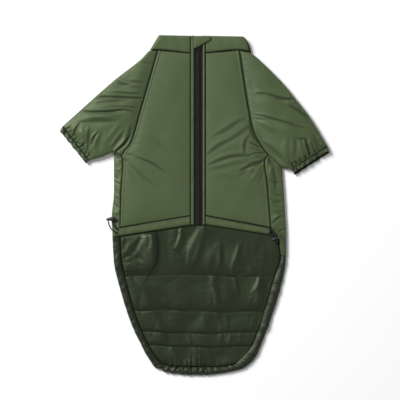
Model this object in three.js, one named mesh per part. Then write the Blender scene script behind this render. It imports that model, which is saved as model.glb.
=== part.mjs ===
// A dog's padded winter coat, laid flat with its zip side up.
// Millimetres. +X is the right of the picture, +Y the collar end, +Z up from the surface it lies on.
// The floor layer is the back of the coat, the upper layer its fronts, and the sleeves are flattened tubes.
import * as THREE from 'three';

// Thicknesses
const padding = 3.5;          // shell, wadding and inner fabric together
const collarWall = 3.0;       // firmer, less wadding
const casingWall = 2.8;       // turned hem
const cuffWall = 2.4;         // unpadded casing with its elastic
const tapeThickness = 0.8;
const seamGap = 0.5;          // from panel to panel at a seam, measured across it

// Heights above the surface
const seamHeight = 7.7;       // top of the upper layer where it is sewn
const lowestTop = 7.5;        // no trough goes below this
const foldMiddle = 4.0;       // height of a folded edge's outermost line
const foldRadius = 4.2;       // how far in from a folded edge the cloth rounds over
const liningBase = 3.8;       // the lining lies this high, on the back panel
const liningTop = 4.9;        // its stitched rows
const hemHeight = 9.0;
const weltHeight = 9.2;

// The zip
const zipLeft = -0.6;
const zipRight = 11.1;
const zipMiddle = (zipLeft + zipRight) / 2;
const zipBottom = -26.6;
const weltLeft = -5.8;
const weltRight = 14.9;
const collarTop = 237.2;

// Colours of the pieces
const finishes = {
  shell: new THREE.MeshStandardMaterial({ color: 0x55624a, roughness: 0.55, metalness: 0 }),
  lining: new THREE.MeshStandardMaterial({ color: 0x2c3527, roughness: 0.4, metalness: 0 }),
  hem: new THREE.MeshStandardMaterial({ color: 0x39432f, roughness: 0.6, metalness: 0 }),
  zip: new THREE.MeshStandardMaterial({ color: 0x212022, roughness: 0.7, metalness: 0 }),
  plastic: new THREE.MeshStandardMaterial({ color: 0x19191b, roughness: 0.35, metalness: 0 }),
  cord: new THREE.MeshStandardMaterial({ color: 0x161618, roughness: 0.8, metalness: 0 }),
};

// Seam lines, each a short table of places on the laid-out coat
const raglanLeft = smoothLine([
  { x: -51.2, y: 217.0 },
  { x: -73.9, y: 138.3 },
  { x: -90.2, y: 85.4 },
  { x: -97.4, y: 76.9 },
  { x: -102.4, y: 68.3 },
]);
const raglanRight = smoothLine([
  { x: 62.6, y: 216.9 },
  { x: 76.0, y: 131.2 },
  { x: 83.1, y: 101.1 },
  { x: 93.0, y: 84.0 },
  { x: 102.4, y: 71.2 },
]);
const sideSeamLeft = smoothLine([
  { x: -102.4, y: 68.3 },
  { x: -100.7, y: 62.9 },
  { x: -103.0, y: 20.0 },
  { x: -104.4, y: -30.8 },
]);
const sideSeamRight = smoothLine([
  { x: 102.4, y: 71.2 },
  { x: 98.0, y: 61.5 },
  { x: 101.4, y: 31.1 },
  { x: 106.4, y: -31.0 },
]);
const besideRollLeft = smoothLine([
  { x: -104.4, y: -30.8 },
  { x: -104.1, y: -45.5 },
  { x: -102.7, y: -68.0 },
]);
const tailInsideLeft = smoothLine([
  { x: -102.7, y: -68.0 },
  { x: -101.2, y: -81.9 },
  { x: -89.3, y: -130.9 },
  { x: -78.8, y: -163.1 },
  { x: -58.4, y: -205.1 },
  { x: -46.4, y: -220.0 },
]);
const rollEdge = smoothLine([
  { x: 106.4, y: -31.0 },
  { x: 115.0, y: -42.7 },
  { x: 120.3, y: -69.0 },
]);
const tailInsideRight = smoothLine([
  { x: 120.3, y: -69.0 },
  { x: 118.6, y: -78.0 },
  { x: 109.4, y: -104.3 },
  { x: 97.0, y: -146.3 },
  { x: 77.4, y: -198.1 },
  { x: 55.4, y: -221.0 },
]);
const tailInsideEnd = smoothLine([
  { x: -46.4, y: -220.0 },
  { x: -32.0, y: -223.6 },
  { x: 6.0, y: -225.0 },
  { x: 40.0, y: -224.6 },
  { x: 55.4, y: -221.0 },
]);

// Large folds. Each row runs from one place to another, bows sideways by bend, is as wide as width on each
// side of its line, and stands up or sinks in by rise.
const bodyFolds = [
  { x1: -84, y1: 71, x2: -39, y2: 45, bend: 3, width: 4.5, rise: -0.9 },
  { x1: -86, y1: 64, x2: -48, y2: 38, bend: 2, width: 5, rise: 0.9 },
  { x1: -88, y1: 30, x2: -60, y2: -8, bend: -4, width: 8, rise: 0.6 },
  { x1: 98, y1: 68, x2: 34, y2: 56, bend: -4, width: 5, rise: 1.0 },
  { x1: 97, y1: 63, x2: 52, y2: 38, bend: -3, width: 4.5, rise: -0.9 },
  { x1: 96, y1: 56, x2: 62, y2: 22, bend: -3, width: 5, rise: 0.9 },
  { x1: 90, y1: 84, x2: 22, y2: 76, bend: 3, width: 5, rise: -0.7 },
  { x1: 84, y1: 102, x2: 50, y2: 92, bend: 2, width: 5, rise: 0.6 },
];
const leftSleeveFolds = [
  { x1: -128, y1: 156, x2: -80, y2: 150, bend: -3, width: 4, rise: -1.0 },
  { x1: -137, y1: 141, x2: -80, y2: 138, bend: 2, width: 4.5, rise: 0.9 },
  { x1: -148, y1: 128, x2: -86, y2: 128, bend: 1, width: 4, rise: -1.1 },
  { x1: -152, y1: 118, x2: -90, y2: 117, bend: -2, width: 5, rise: 0.8 },
  { x1: -160, y1: 108, x2: -98, y2: 108, bend: -3, width: 4, rise: -1.0 },
  { x1: -170, y1: 97, x2: -162, y2: 86, bend: 0, width: 4, rise: -1.2 },
  { x1: -148, y1: 91, x2: -143, y2: 72, bend: 2, width: 5, rise: -1.2 },
  { x1: -134, y1: 92, x2: -124, y2: 78, bend: 2, width: 6, rise: 0.9 },
];
const rightSleeveFolds = [
  { x1: 84, y1: 159, x2: 133, y2: 148, bend: 3, width: 4, rise: -1.0 },
  { x1: 83, y1: 126, x2: 154, y2: 108, bend: 5, width: 4.5, rise: -1.1 },
  { x1: 84, y1: 138, x2: 146, y2: 124, bend: 4, width: 5, rise: 0.9 },
  { x1: 92, y1: 108, x2: 150, y2: 88, bend: 3, width: 6, rise: 0.7 },
  { x1: 154, y1: 91, x2: 161, y2: 70, bend: -2, width: 4, rise: -1.3 },
  { x1: 132, y1: 84, x2: 130, y2: 62, bend: 2, width: 5, rise: -1.0 },
  { x1: 168, y1: 100, x2: 173, y2: 84, bend: 0, width: 4, rise: -0.9 },
];
const sideFolds = [
  { x1: -114, y1: 48, x2: -104, y2: 40, bend: 1, width: 2.5, rise: -0.7 },
  { x1: -114, y1: 30, x2: -105, y2: 24, bend: -1, width: 2.5, rise: -0.6 },
  { x1: -115, y1: 8, x2: -106, y2: 2, bend: 1, width: 2.5, rise: -0.7 },
  { x1: 104, y1: 44, x2: 122, y2: 30, bend: 2, width: 3, rise: -0.7 },
  { x1: 107, y1: -19, x2: 119, y2: -7, bend: 1, width: 3, rise: -0.9 },
  { x1: 108, y1: -28, x2: 122, y2: -38, bend: -1, width: 3, rise: -0.9 },
  { x1: 104, y1: 12, x2: 124, y2: 4, bend: 1, width: 4, rise: 0.6 },
];
const liningFolds = [
  { x1: -98, y1: -50, x2: -62, y2: -66, bend: -3, width: 5, rise: 0.9 },
  { x1: -98, y1: -62, x2: -70, y2: -90, bend: -3, width: 5, rise: 0.8 },
  { x1: -22, y1: -32, x2: -26, y2: -82, bend: 3, width: 4, rise: 0.8 },
  { x1: 0, y1: -44, x2: -5, y2: -88, bend: -3, width: 4, rise: 0.7 },
  { x1: 27, y1: -76, x2: 30, y2: -130, bend: 3, width: 4, rise: 0.8 },
  { x1: 62, y1: -58, x2: 56, y2: -96, bend: -3, width: 4, rise: 0.7 },
  { x1: 94, y1: -80, x2: 86, y2: -128, bend: 3, width: 5, rise: 0.8 },
];

// Stitched rows of the lining, by their place down the tail
const quiltRows = [-26, -98.3, -147.7, -177.9, -197.1, -226];

function smoothLine(rows) {
  const points = rows.map((row) => new THREE.Vector3(row.x, row.y, 0));
  const curve = new THREE.CatmullRomCurve3(points, false, 'centripetal');
  return (share) => curve.getPointAt(THREE.MathUtils.clamp(share, 0, 1));
}

// Several lines end to end, each taking its own number of a panel's rows.
function joinedLine(parts) {
  const total = parts.reduce((sum, part) => sum + part.rows, 0);
  return (share) => {
    let row = share * total;
    for (const part of parts) {
      if (row <= part.rows + 1e-9 || part === parts.at(-1)) {
        return part.line(row / part.rows);
      }
      row -= part.rows;
    }
    return null;
  };
}

function partOf(line, from, to) {
  return (share) => line(from + (to - from) * share);
}

function shifted(line, x, y) {
  return (share) => line(share).clone().add(new THREE.Vector3(x, y, 0));
}

// The piece of cloth between four lines. across goes from its near line to its far line, and along from its
// first end to its last. An end that is not given is straight.
function clothPatch({ near, far, first, last }) {
  const straight = (a, b) => (share) => a.clone().lerp(b, share);
  const start = first ?? straight(near(0), far(0));
  const end = last ?? straight(near(1), far(1));
  return (across, along) => {
    const fromSides = near(along).clone().lerp(far(along), across);
    const fromEnds = start(across).clone().lerp(end(across), along);
    const cornersFirst = near(0).clone().lerp(far(0), across);
    const cornersLast = near(1).clone().lerp(far(1), across);
    return fromSides.add(fromEnds).sub(cornersFirst.lerp(cornersLast, along));
  };
}

function foldHeight(folds, x, y) {
  let height = 0;
  for (const fold of folds) {
    const run = new THREE.Vector2(fold.x2 - fold.x1, fold.y2 - fold.y1);
    const length = run.length();
    run.normalize();
    const toPoint = new THREE.Vector2(x - fold.x1, y - fold.y1);
    const along = toPoint.dot(run);
    const share = THREE.MathUtils.clamp(along / length, 0, 1);
    const bow = 4 * fold.bend * share * (1 - share);
    const aside = toPoint.cross(run) - bow;
    const beyond = along - share * length;
    const distance = Math.hypot(aside, beyond) / fold.width;
    height += fold.rise * Math.exp(-distance * distance);
  }
  return height;
}

// Cloth rises from its seams to its full loft over the distance called reach.
function loft(distances, reach) {
  return distances.reduce((product, distance) => product * (1 - Math.exp(-distance / reach)), 1);
}

// A closed wall between an outer and an inner grid of points with the same rows and columns.
function clothWall(outer, inner, closedRound = false) {
  const rows = outer.length;
  const columns = outer[0].length;
  const positions = [outer, inner].flat(2).flatMap((point) => [point.x, point.y, point.z]);
  const at = (layer, row, column) => (layer * rows + row) * columns + (column % columns);
  const faces = [];
  const quad = (a, b, c, d) => faces.push(a, b, c, a, c, d);
  const lastColumn = closedRound ? columns : columns - 1;
  for (let row = 0; row < rows - 1; row += 1) {
    for (let column = 0; column < lastColumn; column += 1) {
      const next = column + 1;
      quad(at(0, row, column), at(0, row + 1, column), at(0, row + 1, next), at(0, row, next));
      quad(at(1, row, column), at(1, row, next), at(1, row + 1, next), at(1, row + 1, column));
    }
  }
  for (let column = 0; column < lastColumn; column += 1) {
    const next = column + 1;
    const end = rows - 1;
    quad(at(0, 0, column), at(0, 0, next), at(1, 0, next), at(1, 0, column));
    quad(at(0, end, column), at(1, end, column), at(1, end, next), at(0, end, next));
  }
  for (let row = 0; !closedRound && row < rows - 1; row += 1) {
    const end = columns - 1;
    quad(at(0, row, 0), at(1, row, 0), at(1, row + 1, 0), at(0, row + 1, 0));
    quad(at(0, row, end), at(0, row + 1, end), at(1, row + 1, end), at(1, row, end));
  }
  const geometry = new THREE.BufferGeometry();
  geometry.setAttribute('position', new THREE.Float32BufferAttribute(positions, 3));
  geometry.setIndex(signedVolume(positions, faces) > 0 ? faces : faces.reverse());
  geometry.computeVertexNormals();
  return geometry;
}

function signedVolume(positions, faces) {
  const corner = (index) => new THREE.Vector3().fromArray(positions, index * 3);
  let volume = 0;
  for (let face = 0; face < faces.length; face += 3) {
    const [a, b, c] = [0, 1, 2].map((step) => corner(faces[face + step]));
    volume += a.dot(b.cross(c)) / 6;
  }
  return volume;
}

function shares(count) {
  return Array.from({ length: count + 1 }, (_, index) => index / count);
}

// One layer of cloth: its top follows the height given, its inside lies one wall below or on a plain level.
function panel({ patch, columns, rows, height, wall, base }) {
  const outer = [];
  const inner = [];
  for (const along of shares(rows)) {
    const places = shares(columns).map((across) => ({ across, point: patch(across, along) }));
    outer.push(places.map(({ across, point }) => {
      return new THREE.Vector3(point.x, point.y, height(point, across, along));
    }));
    inner.push(outer.at(-1).map((point) => {
      return new THREE.Vector3(point.x, point.y, base ?? point.z - wall);
    }));
  }
  return clothWall(outer, inner);
}

const foldSteps = [0, 0.15, 0.5, 1];   // places of the points round a folded edge, in fold radii

function roundness(distance) {
  const inwards = 1 - Math.min(distance / foldRadius, 1);
  return Math.sqrt(1 - inwards * inwards);
}

// How much of its thickness the inside is drawn in, by distance from a folded edge.
function foldReach(distance, width) {
  return Math.max(0, 1 - distance / Math.min(3 * foldRadius, width));
}

// Cloth folded over on itself: a tube folded at both edges, or a strip folded at its far edge whose lower
// leg comes back by the length called under.
function foldedCloth({ patch, columns, underColumns, rows, height, wall, tube, under }) {
  const outer = [];
  const inner = [];
  for (const along of shares(rows)) {
    const width = patch(0, along).distanceTo(patch(1, along));
    const round = foldSteps.map((step) => step * foldRadius / width);
    const firstShare = tube ? round.at(-1) : 0;
    const lastShare = 1 - round.at(-1);
    const between = (from, to, count) => shares(count).slice(1, -1).map((s) => from + (to - from) * s);
    const nearFold = tube ? round : [0];
    const farFold = round.map((share) => 1 - share).reverse();
    const top = [...nearFold, ...between(firstShare, lastShare, columns), ...farFold];
    const backTo = tube ? firstShare : 1 - Math.min(under, width) / width;
    const bottom = [...farFold.slice(0, -1).reverse(), ...between(lastShare, backTo, underColumns)];
    bottom.push(...(tube ? nearFold.slice(1).reverse() : [backTo]));
    const section = [
      ...top.map((across) => ({ across, upper: true })),
      ...bottom.map((across) => ({ across, upper: false })),
    ];
    const outerRow = [];
    const innerRow = [];
    for (const { across, upper } of section) {
      const place = patch(across, along);
      const nearEdge = tube ? roundness(across * width) : 1;
      const edge = Math.min(nearEdge, roundness((1 - across) * width));
      const surface = upper ? height(place, across, along) : 0;
      const inside = upper ? surface - wall : wall;
      const inset = wall / width;
      const nearInset = tube ? inset * foldReach(across * width, width) : 0;
      const insideAcross = across + nearInset - inset * foldReach((1 - across) * width, width);
      const insidePlace = patch(insideAcross, along);
      const outerHeight = foldMiddle + (surface - foldMiddle) * edge;
      const innerHeight = foldMiddle + (inside - foldMiddle) * edge;
      outerRow.push(new THREE.Vector3(place.x, place.y, outerHeight));
      innerRow.push(new THREE.Vector3(insidePlace.x, insidePlace.y, innerHeight));
    }
    outer.push(outerRow);
    inner.push(innerRow);
  }
  return clothWall(outer, inner, tube);
}

const coat = new THREE.Group();
coat.name = 'dog_winter_coat';

function add(name, geometry, finish) {
  const mesh = new THREE.Mesh(geometry, finish);
  mesh.name = name;
  coat.add(mesh);
  return mesh;
}

// Back panel: the floor layer, from the neck to the tail's hem
const backRows = { raglan: 10, side: 11, roll: 5, tail: 13 };
const backPatch = clothPatch({
  near: shifted(joinedLine([
    { line: raglanLeft, rows: backRows.raglan },
    { line: sideSeamLeft, rows: backRows.side },
    { line: besideRollLeft, rows: backRows.roll },
    { line: tailInsideLeft, rows: backRows.tail },
  ]), seamGap / 2, 0),
  far: shifted(joinedLine([
    { line: raglanRight, rows: backRows.raglan },
    { line: sideSeamRight, rows: backRows.side },
    { line: rollEdge, rows: backRows.roll },
    { line: tailInsideRight, rows: backRows.tail },
  ]), -seamGap / 2, 0),
  last: tailInsideEnd,
});
add('back_panel', panel({
  patch: backPatch,
  columns: 3,
  rows: backRows.raglan + backRows.side + backRows.roll + backRows.tail,
  height: () => padding,
  base: 0,
}), finishes.shell);

// Lining of the tail, raised between its stitched rows over a plain inside
const liningPatch = clothPatch({
  near: shifted(smoothLine([
    { x: -104.0, y: -36.0 },
    { x: -104.1, y: -45.5 },
    { x: -101.4, y: -81.9 },
    { x: -89.3, y: -130.9 },
    { x: -78.8, y: -163.1 },
    { x: -58.4, y: -205.1 },
    { x: -46.4, y: -220.0 },
  ]), seamGap, 0),
  far: shifted(smoothLine([
    { x: 105.6, y: -35.0 },
    { x: 112.4, y: -42.7 },
    { x: 119.4, y: -67.9 },
    { x: 109.4, y: -104.3 },
    { x: 97.0, y: -146.3 },
    { x: 77.4, y: -198.1 },
    { x: 55.4, y: -221.0 },
  ]), -seamGap, 0),
  first: smoothLine([
    { x: -103.5, y: -36.0 },
    { x: -50.0, y: -28.0 },
    { x: 4.0, y: -20.0 },
    { x: 55.0, y: -26.0 },
    { x: 105.1, y: -35.0 },
  ]),
  last: tailInsideEnd,
});
const quiltLoft = 1.5;
add('back_lining', panel({
  patch: liningPatch,
  columns: 13,
  rows: 28,
  base: liningBase,
  height: (place) => {
    const below = quiltRows.findIndex((row) => place.y > row);
    const bottom = quiltRows[below < 1 ? 1 : below];
    const top = quiltRows[below < 1 ? 0 : below - 1];
    const share = THREE.MathUtils.clamp((top - place.y) / (top - bottom), 0, 1);
    const puffed = quiltLoft * Math.sqrt(Math.sin(Math.PI * share) + 0.001);
    const clearOfHem = THREE.MathUtils.smoothstep(-44 - place.y, 0, 14);
    const creased = foldHeight(liningFolds, place.x, place.y) * clearOfHem;
    return liningTop + Math.max(0, puffed * (0.3 + 0.7 * clearOfHem) + creased);
  },
}), finishes.lining);

// Fronts: the upper layer on each side of the zip
const frontRows = { raglan: 19, side: 11 };
const armpitLevel = 70;
const front = { width: 92, length: 240, puff: 1.7, reach: 9 };
function frontHeight(place, across, along) {
  const fromSides = [across * front.width, (1 - across) * front.width];
  const fromEnds = [along * front.length, (1 - along) * front.length];
  const rise = loft([...fromSides, ...fromEnds], front.reach);
  const folds = foldHeight(bodyFolds, place.x, place.y);
  return Math.max(lowestTop, seamHeight + rise * (front.puff + folds));
}
function zipSideLine(x, topY, bottomY) {
  const upper = smoothLine([{ x, y: topY }, { x, y: armpitLevel }]);
  const lower = smoothLine([{ x, y: armpitLevel }, { x, y: bottomY }]);
  return joinedLine([
    { line: upper, rows: frontRows.raglan },
    { line: lower, rows: frontRows.side },
  ]);
}
const fronts = [
  {
    name: 'front_left',
    outside: joinedLine([
      { line: raglanLeft, rows: frontRows.raglan },
      { line: sideSeamLeft, rows: frontRows.side },
    ]),
    towardZip: 1,
    zipSide: zipSideLine(weltLeft - 0.4, 212.6, -14.2),
  },
  {
    name: 'front_right',
    outside: joinedLine([
      { line: raglanRight, rows: frontRows.raglan },
      { line: sideSeamRight, rows: frontRows.side },
    ]),
    towardZip: -1,
    zipSide: zipSideLine(weltRight + 0.4, 212.8, -13.9),
  },
];
for (const side of fronts) {
  add(side.name, panel({
    patch: clothPatch({
      near: shifted(side.outside, side.towardZip * seamGap / 2, 0),
      far: side.zipSide,
    }),
    columns: 11,
    rows: frontRows.raglan + frontRows.side,
    height: frontHeight,
    wall: padding,
  }), finishes.shell);
}

// Side panels: strips folded round the two sides, between the fronts and the back
const sidePanel = { wall: 3.0, width: 14, lead: 2, puff: 0.9, reach: 4 };
const sides = [
  {
    name: 'side_left',
    seam: shifted(sideSeamLeft, -seamGap / 2, 0),
    fold: smoothLine([
      { x: -112.9, y: 72.2 },
      { x: -112.9, y: 40.0 },
      { x: -113.2, y: 13.3 },
      { x: -115.8, y: -11.9 },
      { x: -115.5, y: -32.0 },
    ]),
    first: smoothLine([{ x: -102.65, y: 67.6 }, { x: -112.9, y: 72.2 }]),
    columns: 4,
    rows: backRows.side,
  },
  {
    name: 'side_right',
    seam: shifted(joinedLine([
      { line: sideSeamRight, rows: backRows.side },
      { line: rollEdge, rows: backRows.roll },
    ]), seamGap / 2, 0),
    fold: smoothLine([
      { x: 121.8, y: 50.2 },
      { x: 124.3, y: 21.7 },
      { x: 126.4, y: -11.9 },
      { x: 127.8, y: -37.1 },
      { x: 127.9, y: -70.6 },
    ]),
    first: smoothLine([{ x: 102.65, y: 70.4 }, { x: 112.0, y: 61.2 }, { x: 121.8, y: 50.2 }]),
    columns: 5,
    rows: backRows.side + backRows.roll,
  },
];
for (const side of sides) {
  const from = side.first(0);
  const seam = (share) => side.seam(share).clone().lerp(from, Math.max(0, 1 - share * side.rows));
  add(side.name, foldedCloth({
    patch: clothPatch({ near: seam, far: side.fold, first: side.first }),
    columns: side.columns,
    underColumns: 2,
    rows: side.rows,
    height: (place, across) => {
      const rise = loft([across * sidePanel.width + sidePanel.lead], sidePanel.reach);
      const folds = foldHeight(sideFolds, place.x, place.y);
      return Math.max(lowestTop, seamHeight + rise * (sidePanel.puff + folds));
    },
    wall: sidePanel.wall,
    tube: false,
    under: Infinity,
  }), finishes.shell);
}

// Sleeves: flattened tubes from the raglan seam to the cuff
const cuffSeams = {
  left: smoothLine([{ x: -184.9, y: 110.5 }, { x: -147.4, y: 62.8 }]),
  right: smoothLine([{ x: 185.8, y: 82.4 }, { x: 135.6, y: 50.5 }]),
};
const sleeves = [
  {
    name: 'sleeve_left',
    raglan: shifted(raglanLeft, -0.8 * seamGap, 0.2 * seamGap),
    shoulder: [
      { x: -51.45, y: 217.0 },
      { x: -62.8, y: 216.6 },
      { x: -67.6, y: 212.3 },
      { x: -74.6, y: 204.7 },
      { x: -111.0, y: 176.1 },
      { x: -138.1, y: 152.6 },
      { x: -184.9, y: 110.5 },
    ],
    underarm: [
      { x: -102.65, y: 68.3 },
      { x: -113.1, y: 73.9 },
      { x: -130.0, y: 67.6 },
      { x: -147.4, y: 62.8 },
    ],
    cuffSeam: cuffSeams.left,
    folds: leftSleeveFolds,
  },
  {
    name: 'sleeve_right',
    raglan: shifted(raglanRight, 0.8 * seamGap, 0.2 * seamGap),
    shoulder: [
      { x: 62.85, y: 216.9 },
      { x: 75.4, y: 214.4 },
      { x: 81.8, y: 210.8 },
      { x: 121.6, y: 172.6 },
      { x: 141.6, y: 148.3 },
      { x: 161.6, y: 122.5 },
      { x: 185.8, y: 82.4 },
    ],
    underarm: [
      { x: 102.65, y: 71.2 },
      { x: 112.3, y: 62.2 },
      { x: 122.0, y: 52.4 },
      { x: 135.6, y: 50.5 },
    ],
    cuffSeam: cuffSeams.right,
    folds: rightSleeveFolds,
  },
];
const sleeveSize = { length: 90, puff: 2.3, reach: 8 };
for (const sleeve of sleeves) {
  add(sleeve.name, foldedCloth({
    patch: clothPatch({
      near: smoothLine(sleeve.shoulder),
      far: smoothLine(sleeve.underarm),
      first: sleeve.raglan,
      last: sleeve.cuffSeam,
    }),
    columns: 13,
    underColumns: 3,
    rows: 14,
    height: (place, across, along) => {
      const rise = loft([along * sleeveSize.length, (1 - along) * sleeveSize.length], sleeveSize.reach);
      const folds = foldHeight(sleeve.folds, place.x, place.y);
      return Math.max(lowestTop, seamHeight + rise * (sleeveSize.puff + folds));
    },
    wall: padding,
    tube: true,
  }), finishes.shell);
}

// Cuffs: gathered elastic casings, ruffled across the upper side
const cuffs = [
  {
    name: 'cuff_left',
    seam: shifted(cuffSeams.left, -0.35, -0.3),
    hem: smoothLine([{ x: -188.4, y: 104.3 }, { x: -151.9, y: 58.9 }]),
  },
  {
    name: 'cuff_right',
    seam: shifted(cuffSeams.right, 0.25, -0.4),
    hem: smoothLine([{ x: 188.4, y: 73.9 }, { x: 139.7, y: 42.6 }]),
  },
];
const cuffHeight = 8.0;
const cuffRuffles = 14;
const ruffleHeight = 1.0;
const ruffleRun = 0.7;
for (const cuff of cuffs) {
  const flat = clothPatch({ near: cuff.seam, far: cuff.hem });
  const wave = (across) => Math.sin(2 * Math.PI * cuffRuffles * across);
  const outwards = cuff.hem(0.5).clone().sub(cuff.seam(0.5)).normalize();
  const patch = (across, along) => {
    const place = flat(along, across);
    return place.add(outwards.clone().multiplyScalar(ruffleRun * along * wave(across)));
  };
  add(cuff.name, foldedCloth({
    patch,
    columns: cuffRuffles * 4,
    underColumns: 3,
    rows: 2,
    height: (place, across, along) => cuffHeight + ruffleHeight * (0.35 + 0.65 * along) * wave(across),
    wall: cuffWall,
    tube: true,
  }), finishes.hem);
}

// Collar: a standing band laid flat, its front in two pieces and its back below them
const collar = { depth: 22, lead: 1.5, puff: 1.2, reach: 5, under: 10 };
const collarHeight = (place, across, along) => {
  const fromEdges = [(1 - along) * collar.depth + collar.lead, along * collar.depth + collar.lead];
  return seamHeight + loft(fromEdges, collar.reach) * collar.puff;
};
add('collar_front_left', foldedCloth({
  patch: clothPatch({
    near: smoothLine([{ x: weltLeft - 0.4, y: collarTop }, { x: weltLeft - 0.4, y: 213.2 }]),
    far: smoothLine([{ x: -50.2, y: 238.1 }, { x: -62.6, y: 217.8 }]),
    last: smoothLine([{ x: weltLeft - 0.4, y: 213.2 }, { x: -50.2, y: 217.9 }, { x: -62.6, y: 217.8 }]),
  }),
  columns: 8,
  underColumns: 2,
  rows: 5,
  height: collarHeight,
  wall: collarWall,
  tube: false,
  under: collar.under,
}), finishes.shell);
add('collar_front_right', panel({
  patch: clothPatch({
    near: smoothLine([{ x: weltRight + 0.4, y: collarTop }, { x: weltRight + 0.4, y: 213.4 }]),
    far: smoothLine([
      { x: 67.6, y: 236.2 },
      { x: 71.8, y: 230.6 },
      { x: 74.4, y: 222.0 },
      { x: 75.3, y: 215.9 },
    ]),
    last: smoothLine([{ x: weltRight + 0.4, y: 213.4 }, { x: 62.5, y: 217.9 }, { x: 75.3, y: 215.9 }]),
  }),
  columns: 9,
  rows: 5,
  height: collarHeight,
  wall: collarWall,
}), finishes.shell);
add('collar_back', panel({
  patch: clothPatch({
    near: smoothLine([{ x: -39.4, y: 237.6 }, { x: -51.8, y: 217.8 }]),
    far: smoothLine([{ x: 68.8, y: 236.0 }, { x: 74.6, y: 228.0 }, { x: 79.9, y: 213.4 }]),
    last: smoothLine([{ x: -51.8, y: 217.8 }, { x: 62.6, y: 217.8 }, { x: 79.9, y: 213.4 }]),
  }),
  columns: 8,
  rows: 4,
  height: () => padding,
  base: 0,
}), finishes.lining);

// Front hem: turned casings that carry the drawcords
const hem = { depth: 13, lead: 0.4, puff: 1.0, reach: 3, under: 9.4 };
const hemTop = (place, across, along) => {
  const fromEdges = [along * hem.depth + hem.lead, (1 - along) * hem.depth + hem.lead];
  return hemHeight - hem.puff + hem.puff * loft(fromEdges, hem.reach);
};
add('front_hem_left', foldedCloth({
  patch: clothPatch({
    near: smoothLine([{ x: weltLeft - 0.4, y: -14.9 }, { x: weltLeft - 0.4, y: -27.2 }]),
    far: smoothLine([{ x: -115.5, y: -32.9 }, { x: -115.0, y: -44.2 }]),
    first: smoothLine([
      { x: weltLeft - 0.4, y: -14.9 },
      { x: -60.0, y: -23.9 },
      { x: -104.4, y: -31.5 },
      { x: -115.5, y: -32.9 },
    ]),
  }),
  columns: 12,
  underColumns: 2,
  rows: 4,
  height: hemTop,
  wall: casingWall,
  tube: false,
  under: hem.under,
}), finishes.shell);
add('front_hem_right', panel({
  patch: clothPatch({
    near: smoothLine([{ x: weltRight + 0.4, y: -14.6 }, { x: weltRight + 0.4, y: -26.6 }]),
    far: smoothLine([{ x: 105.9, y: -31.7 }, { x: 104.6, y: -40.6 }]),
  }),
  columns: 11,
  rows: 4,
  height: hemTop,
  wall: casingWall,
}), finishes.shell);

// Tail hem: a folded elastic casing in three stretches, the last gathered
const tailHemHeight = 6.4;
const tailHemEdge = 3.4;
const gatherRun = 0.8;
const gatherRise = 0.7;
function casing({ inside, outside, rows, gathers = 0 }) {
  const profile = [
    { across: 0.0, rise: 0.55 },
    { across: 0.12, rise: 0.9 },
    { across: 0.45, rise: 1.0 },
    { across: 0.85, rise: 0.82 },
    { across: 1.0, rise: 0.3 },
  ];
  const patch = clothPatch({ near: inside, far: outside });
  const outer = [];
  const inner = [];
  for (const along of shares(rows)) {
    const wave = gathers ? Math.sin(2 * Math.PI * gathers * along) : 0;
    const width = patch(0, along).distanceTo(patch(1, along));
    outer.push(profile.map(({ across, rise }) => {
      const place = patch(across * (1 + wave * gatherRun / width), along);
      const top = tailHemEdge + (tailHemHeight - tailHemEdge + wave * gatherRise) * rise;
      return new THREE.Vector3(place.x, place.y, top);
    }));
    inner.push(outer.at(-1).map((point) => new THREE.Vector3(point.x, point.y, 0)));
  }
  return clothWall(outer, inner);
}
const tailOutsideLeft = smoothLine([
  { x: -115.2, y: -45.0 },
  { x: -114.5, y: -62.3 },
  { x: -111.7, y: -87.5 },
  { x: -105.6, y: -112.7 },
  { x: -89.7, y: -163.1 },
  { x: -69.7, y: -205.1 },
  { x: -57.2, y: -225.4 },
]);
const tailOutsideRight = smoothLine([
  { x: 128.0, y: -72.2 },
  { x: 125.0, y: -95.9 },
  { x: 111.0, y: -146.3 },
  { x: 92.3, y: -196.7 },
  { x: 84.4, y: -213.5 },
  { x: 71.0, y: -226.6 },
]);
const tailOutsideEnd = smoothLine([
  { x: -56.8, y: -226.2 },
  { x: -38.3, y: -233.6 },
  { x: -6.7, y: -237.3 },
  { x: 28.4, y: -236.4 },
  { x: 62.0, y: -230.2 },
  { x: 70.2, y: -227.4 },
]);
const belowLeftHem = joinedLine([
  { line: partOf(besideRollLeft, 0.38, 1), rows: 3 },
  { line: tailInsideLeft, rows: backRows.tail },
]);
const belowRightRoll = partOf(tailInsideRight, 0.02, 1);
add('tail_hem_left', casing({
  inside: shifted(belowLeftHem, -seamGap, 0),
  outside: tailOutsideLeft,
  rows: backRows.tail + 3,
}), finishes.hem);
add('tail_hem_right', casing({
  inside: shifted(belowRightRoll, seamGap, 0),
  outside: tailOutsideRight,
  rows: backRows.tail,
}), finishes.hem);
const tailGathers = 20;
add('tail_hem_end', casing({
  inside: shifted(tailInsideEnd, 0, -0.7),
  outside: tailOutsideEnd,
  rows: tailGathers * 3,
  gathers: tailGathers,
}), finishes.hem);

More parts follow.
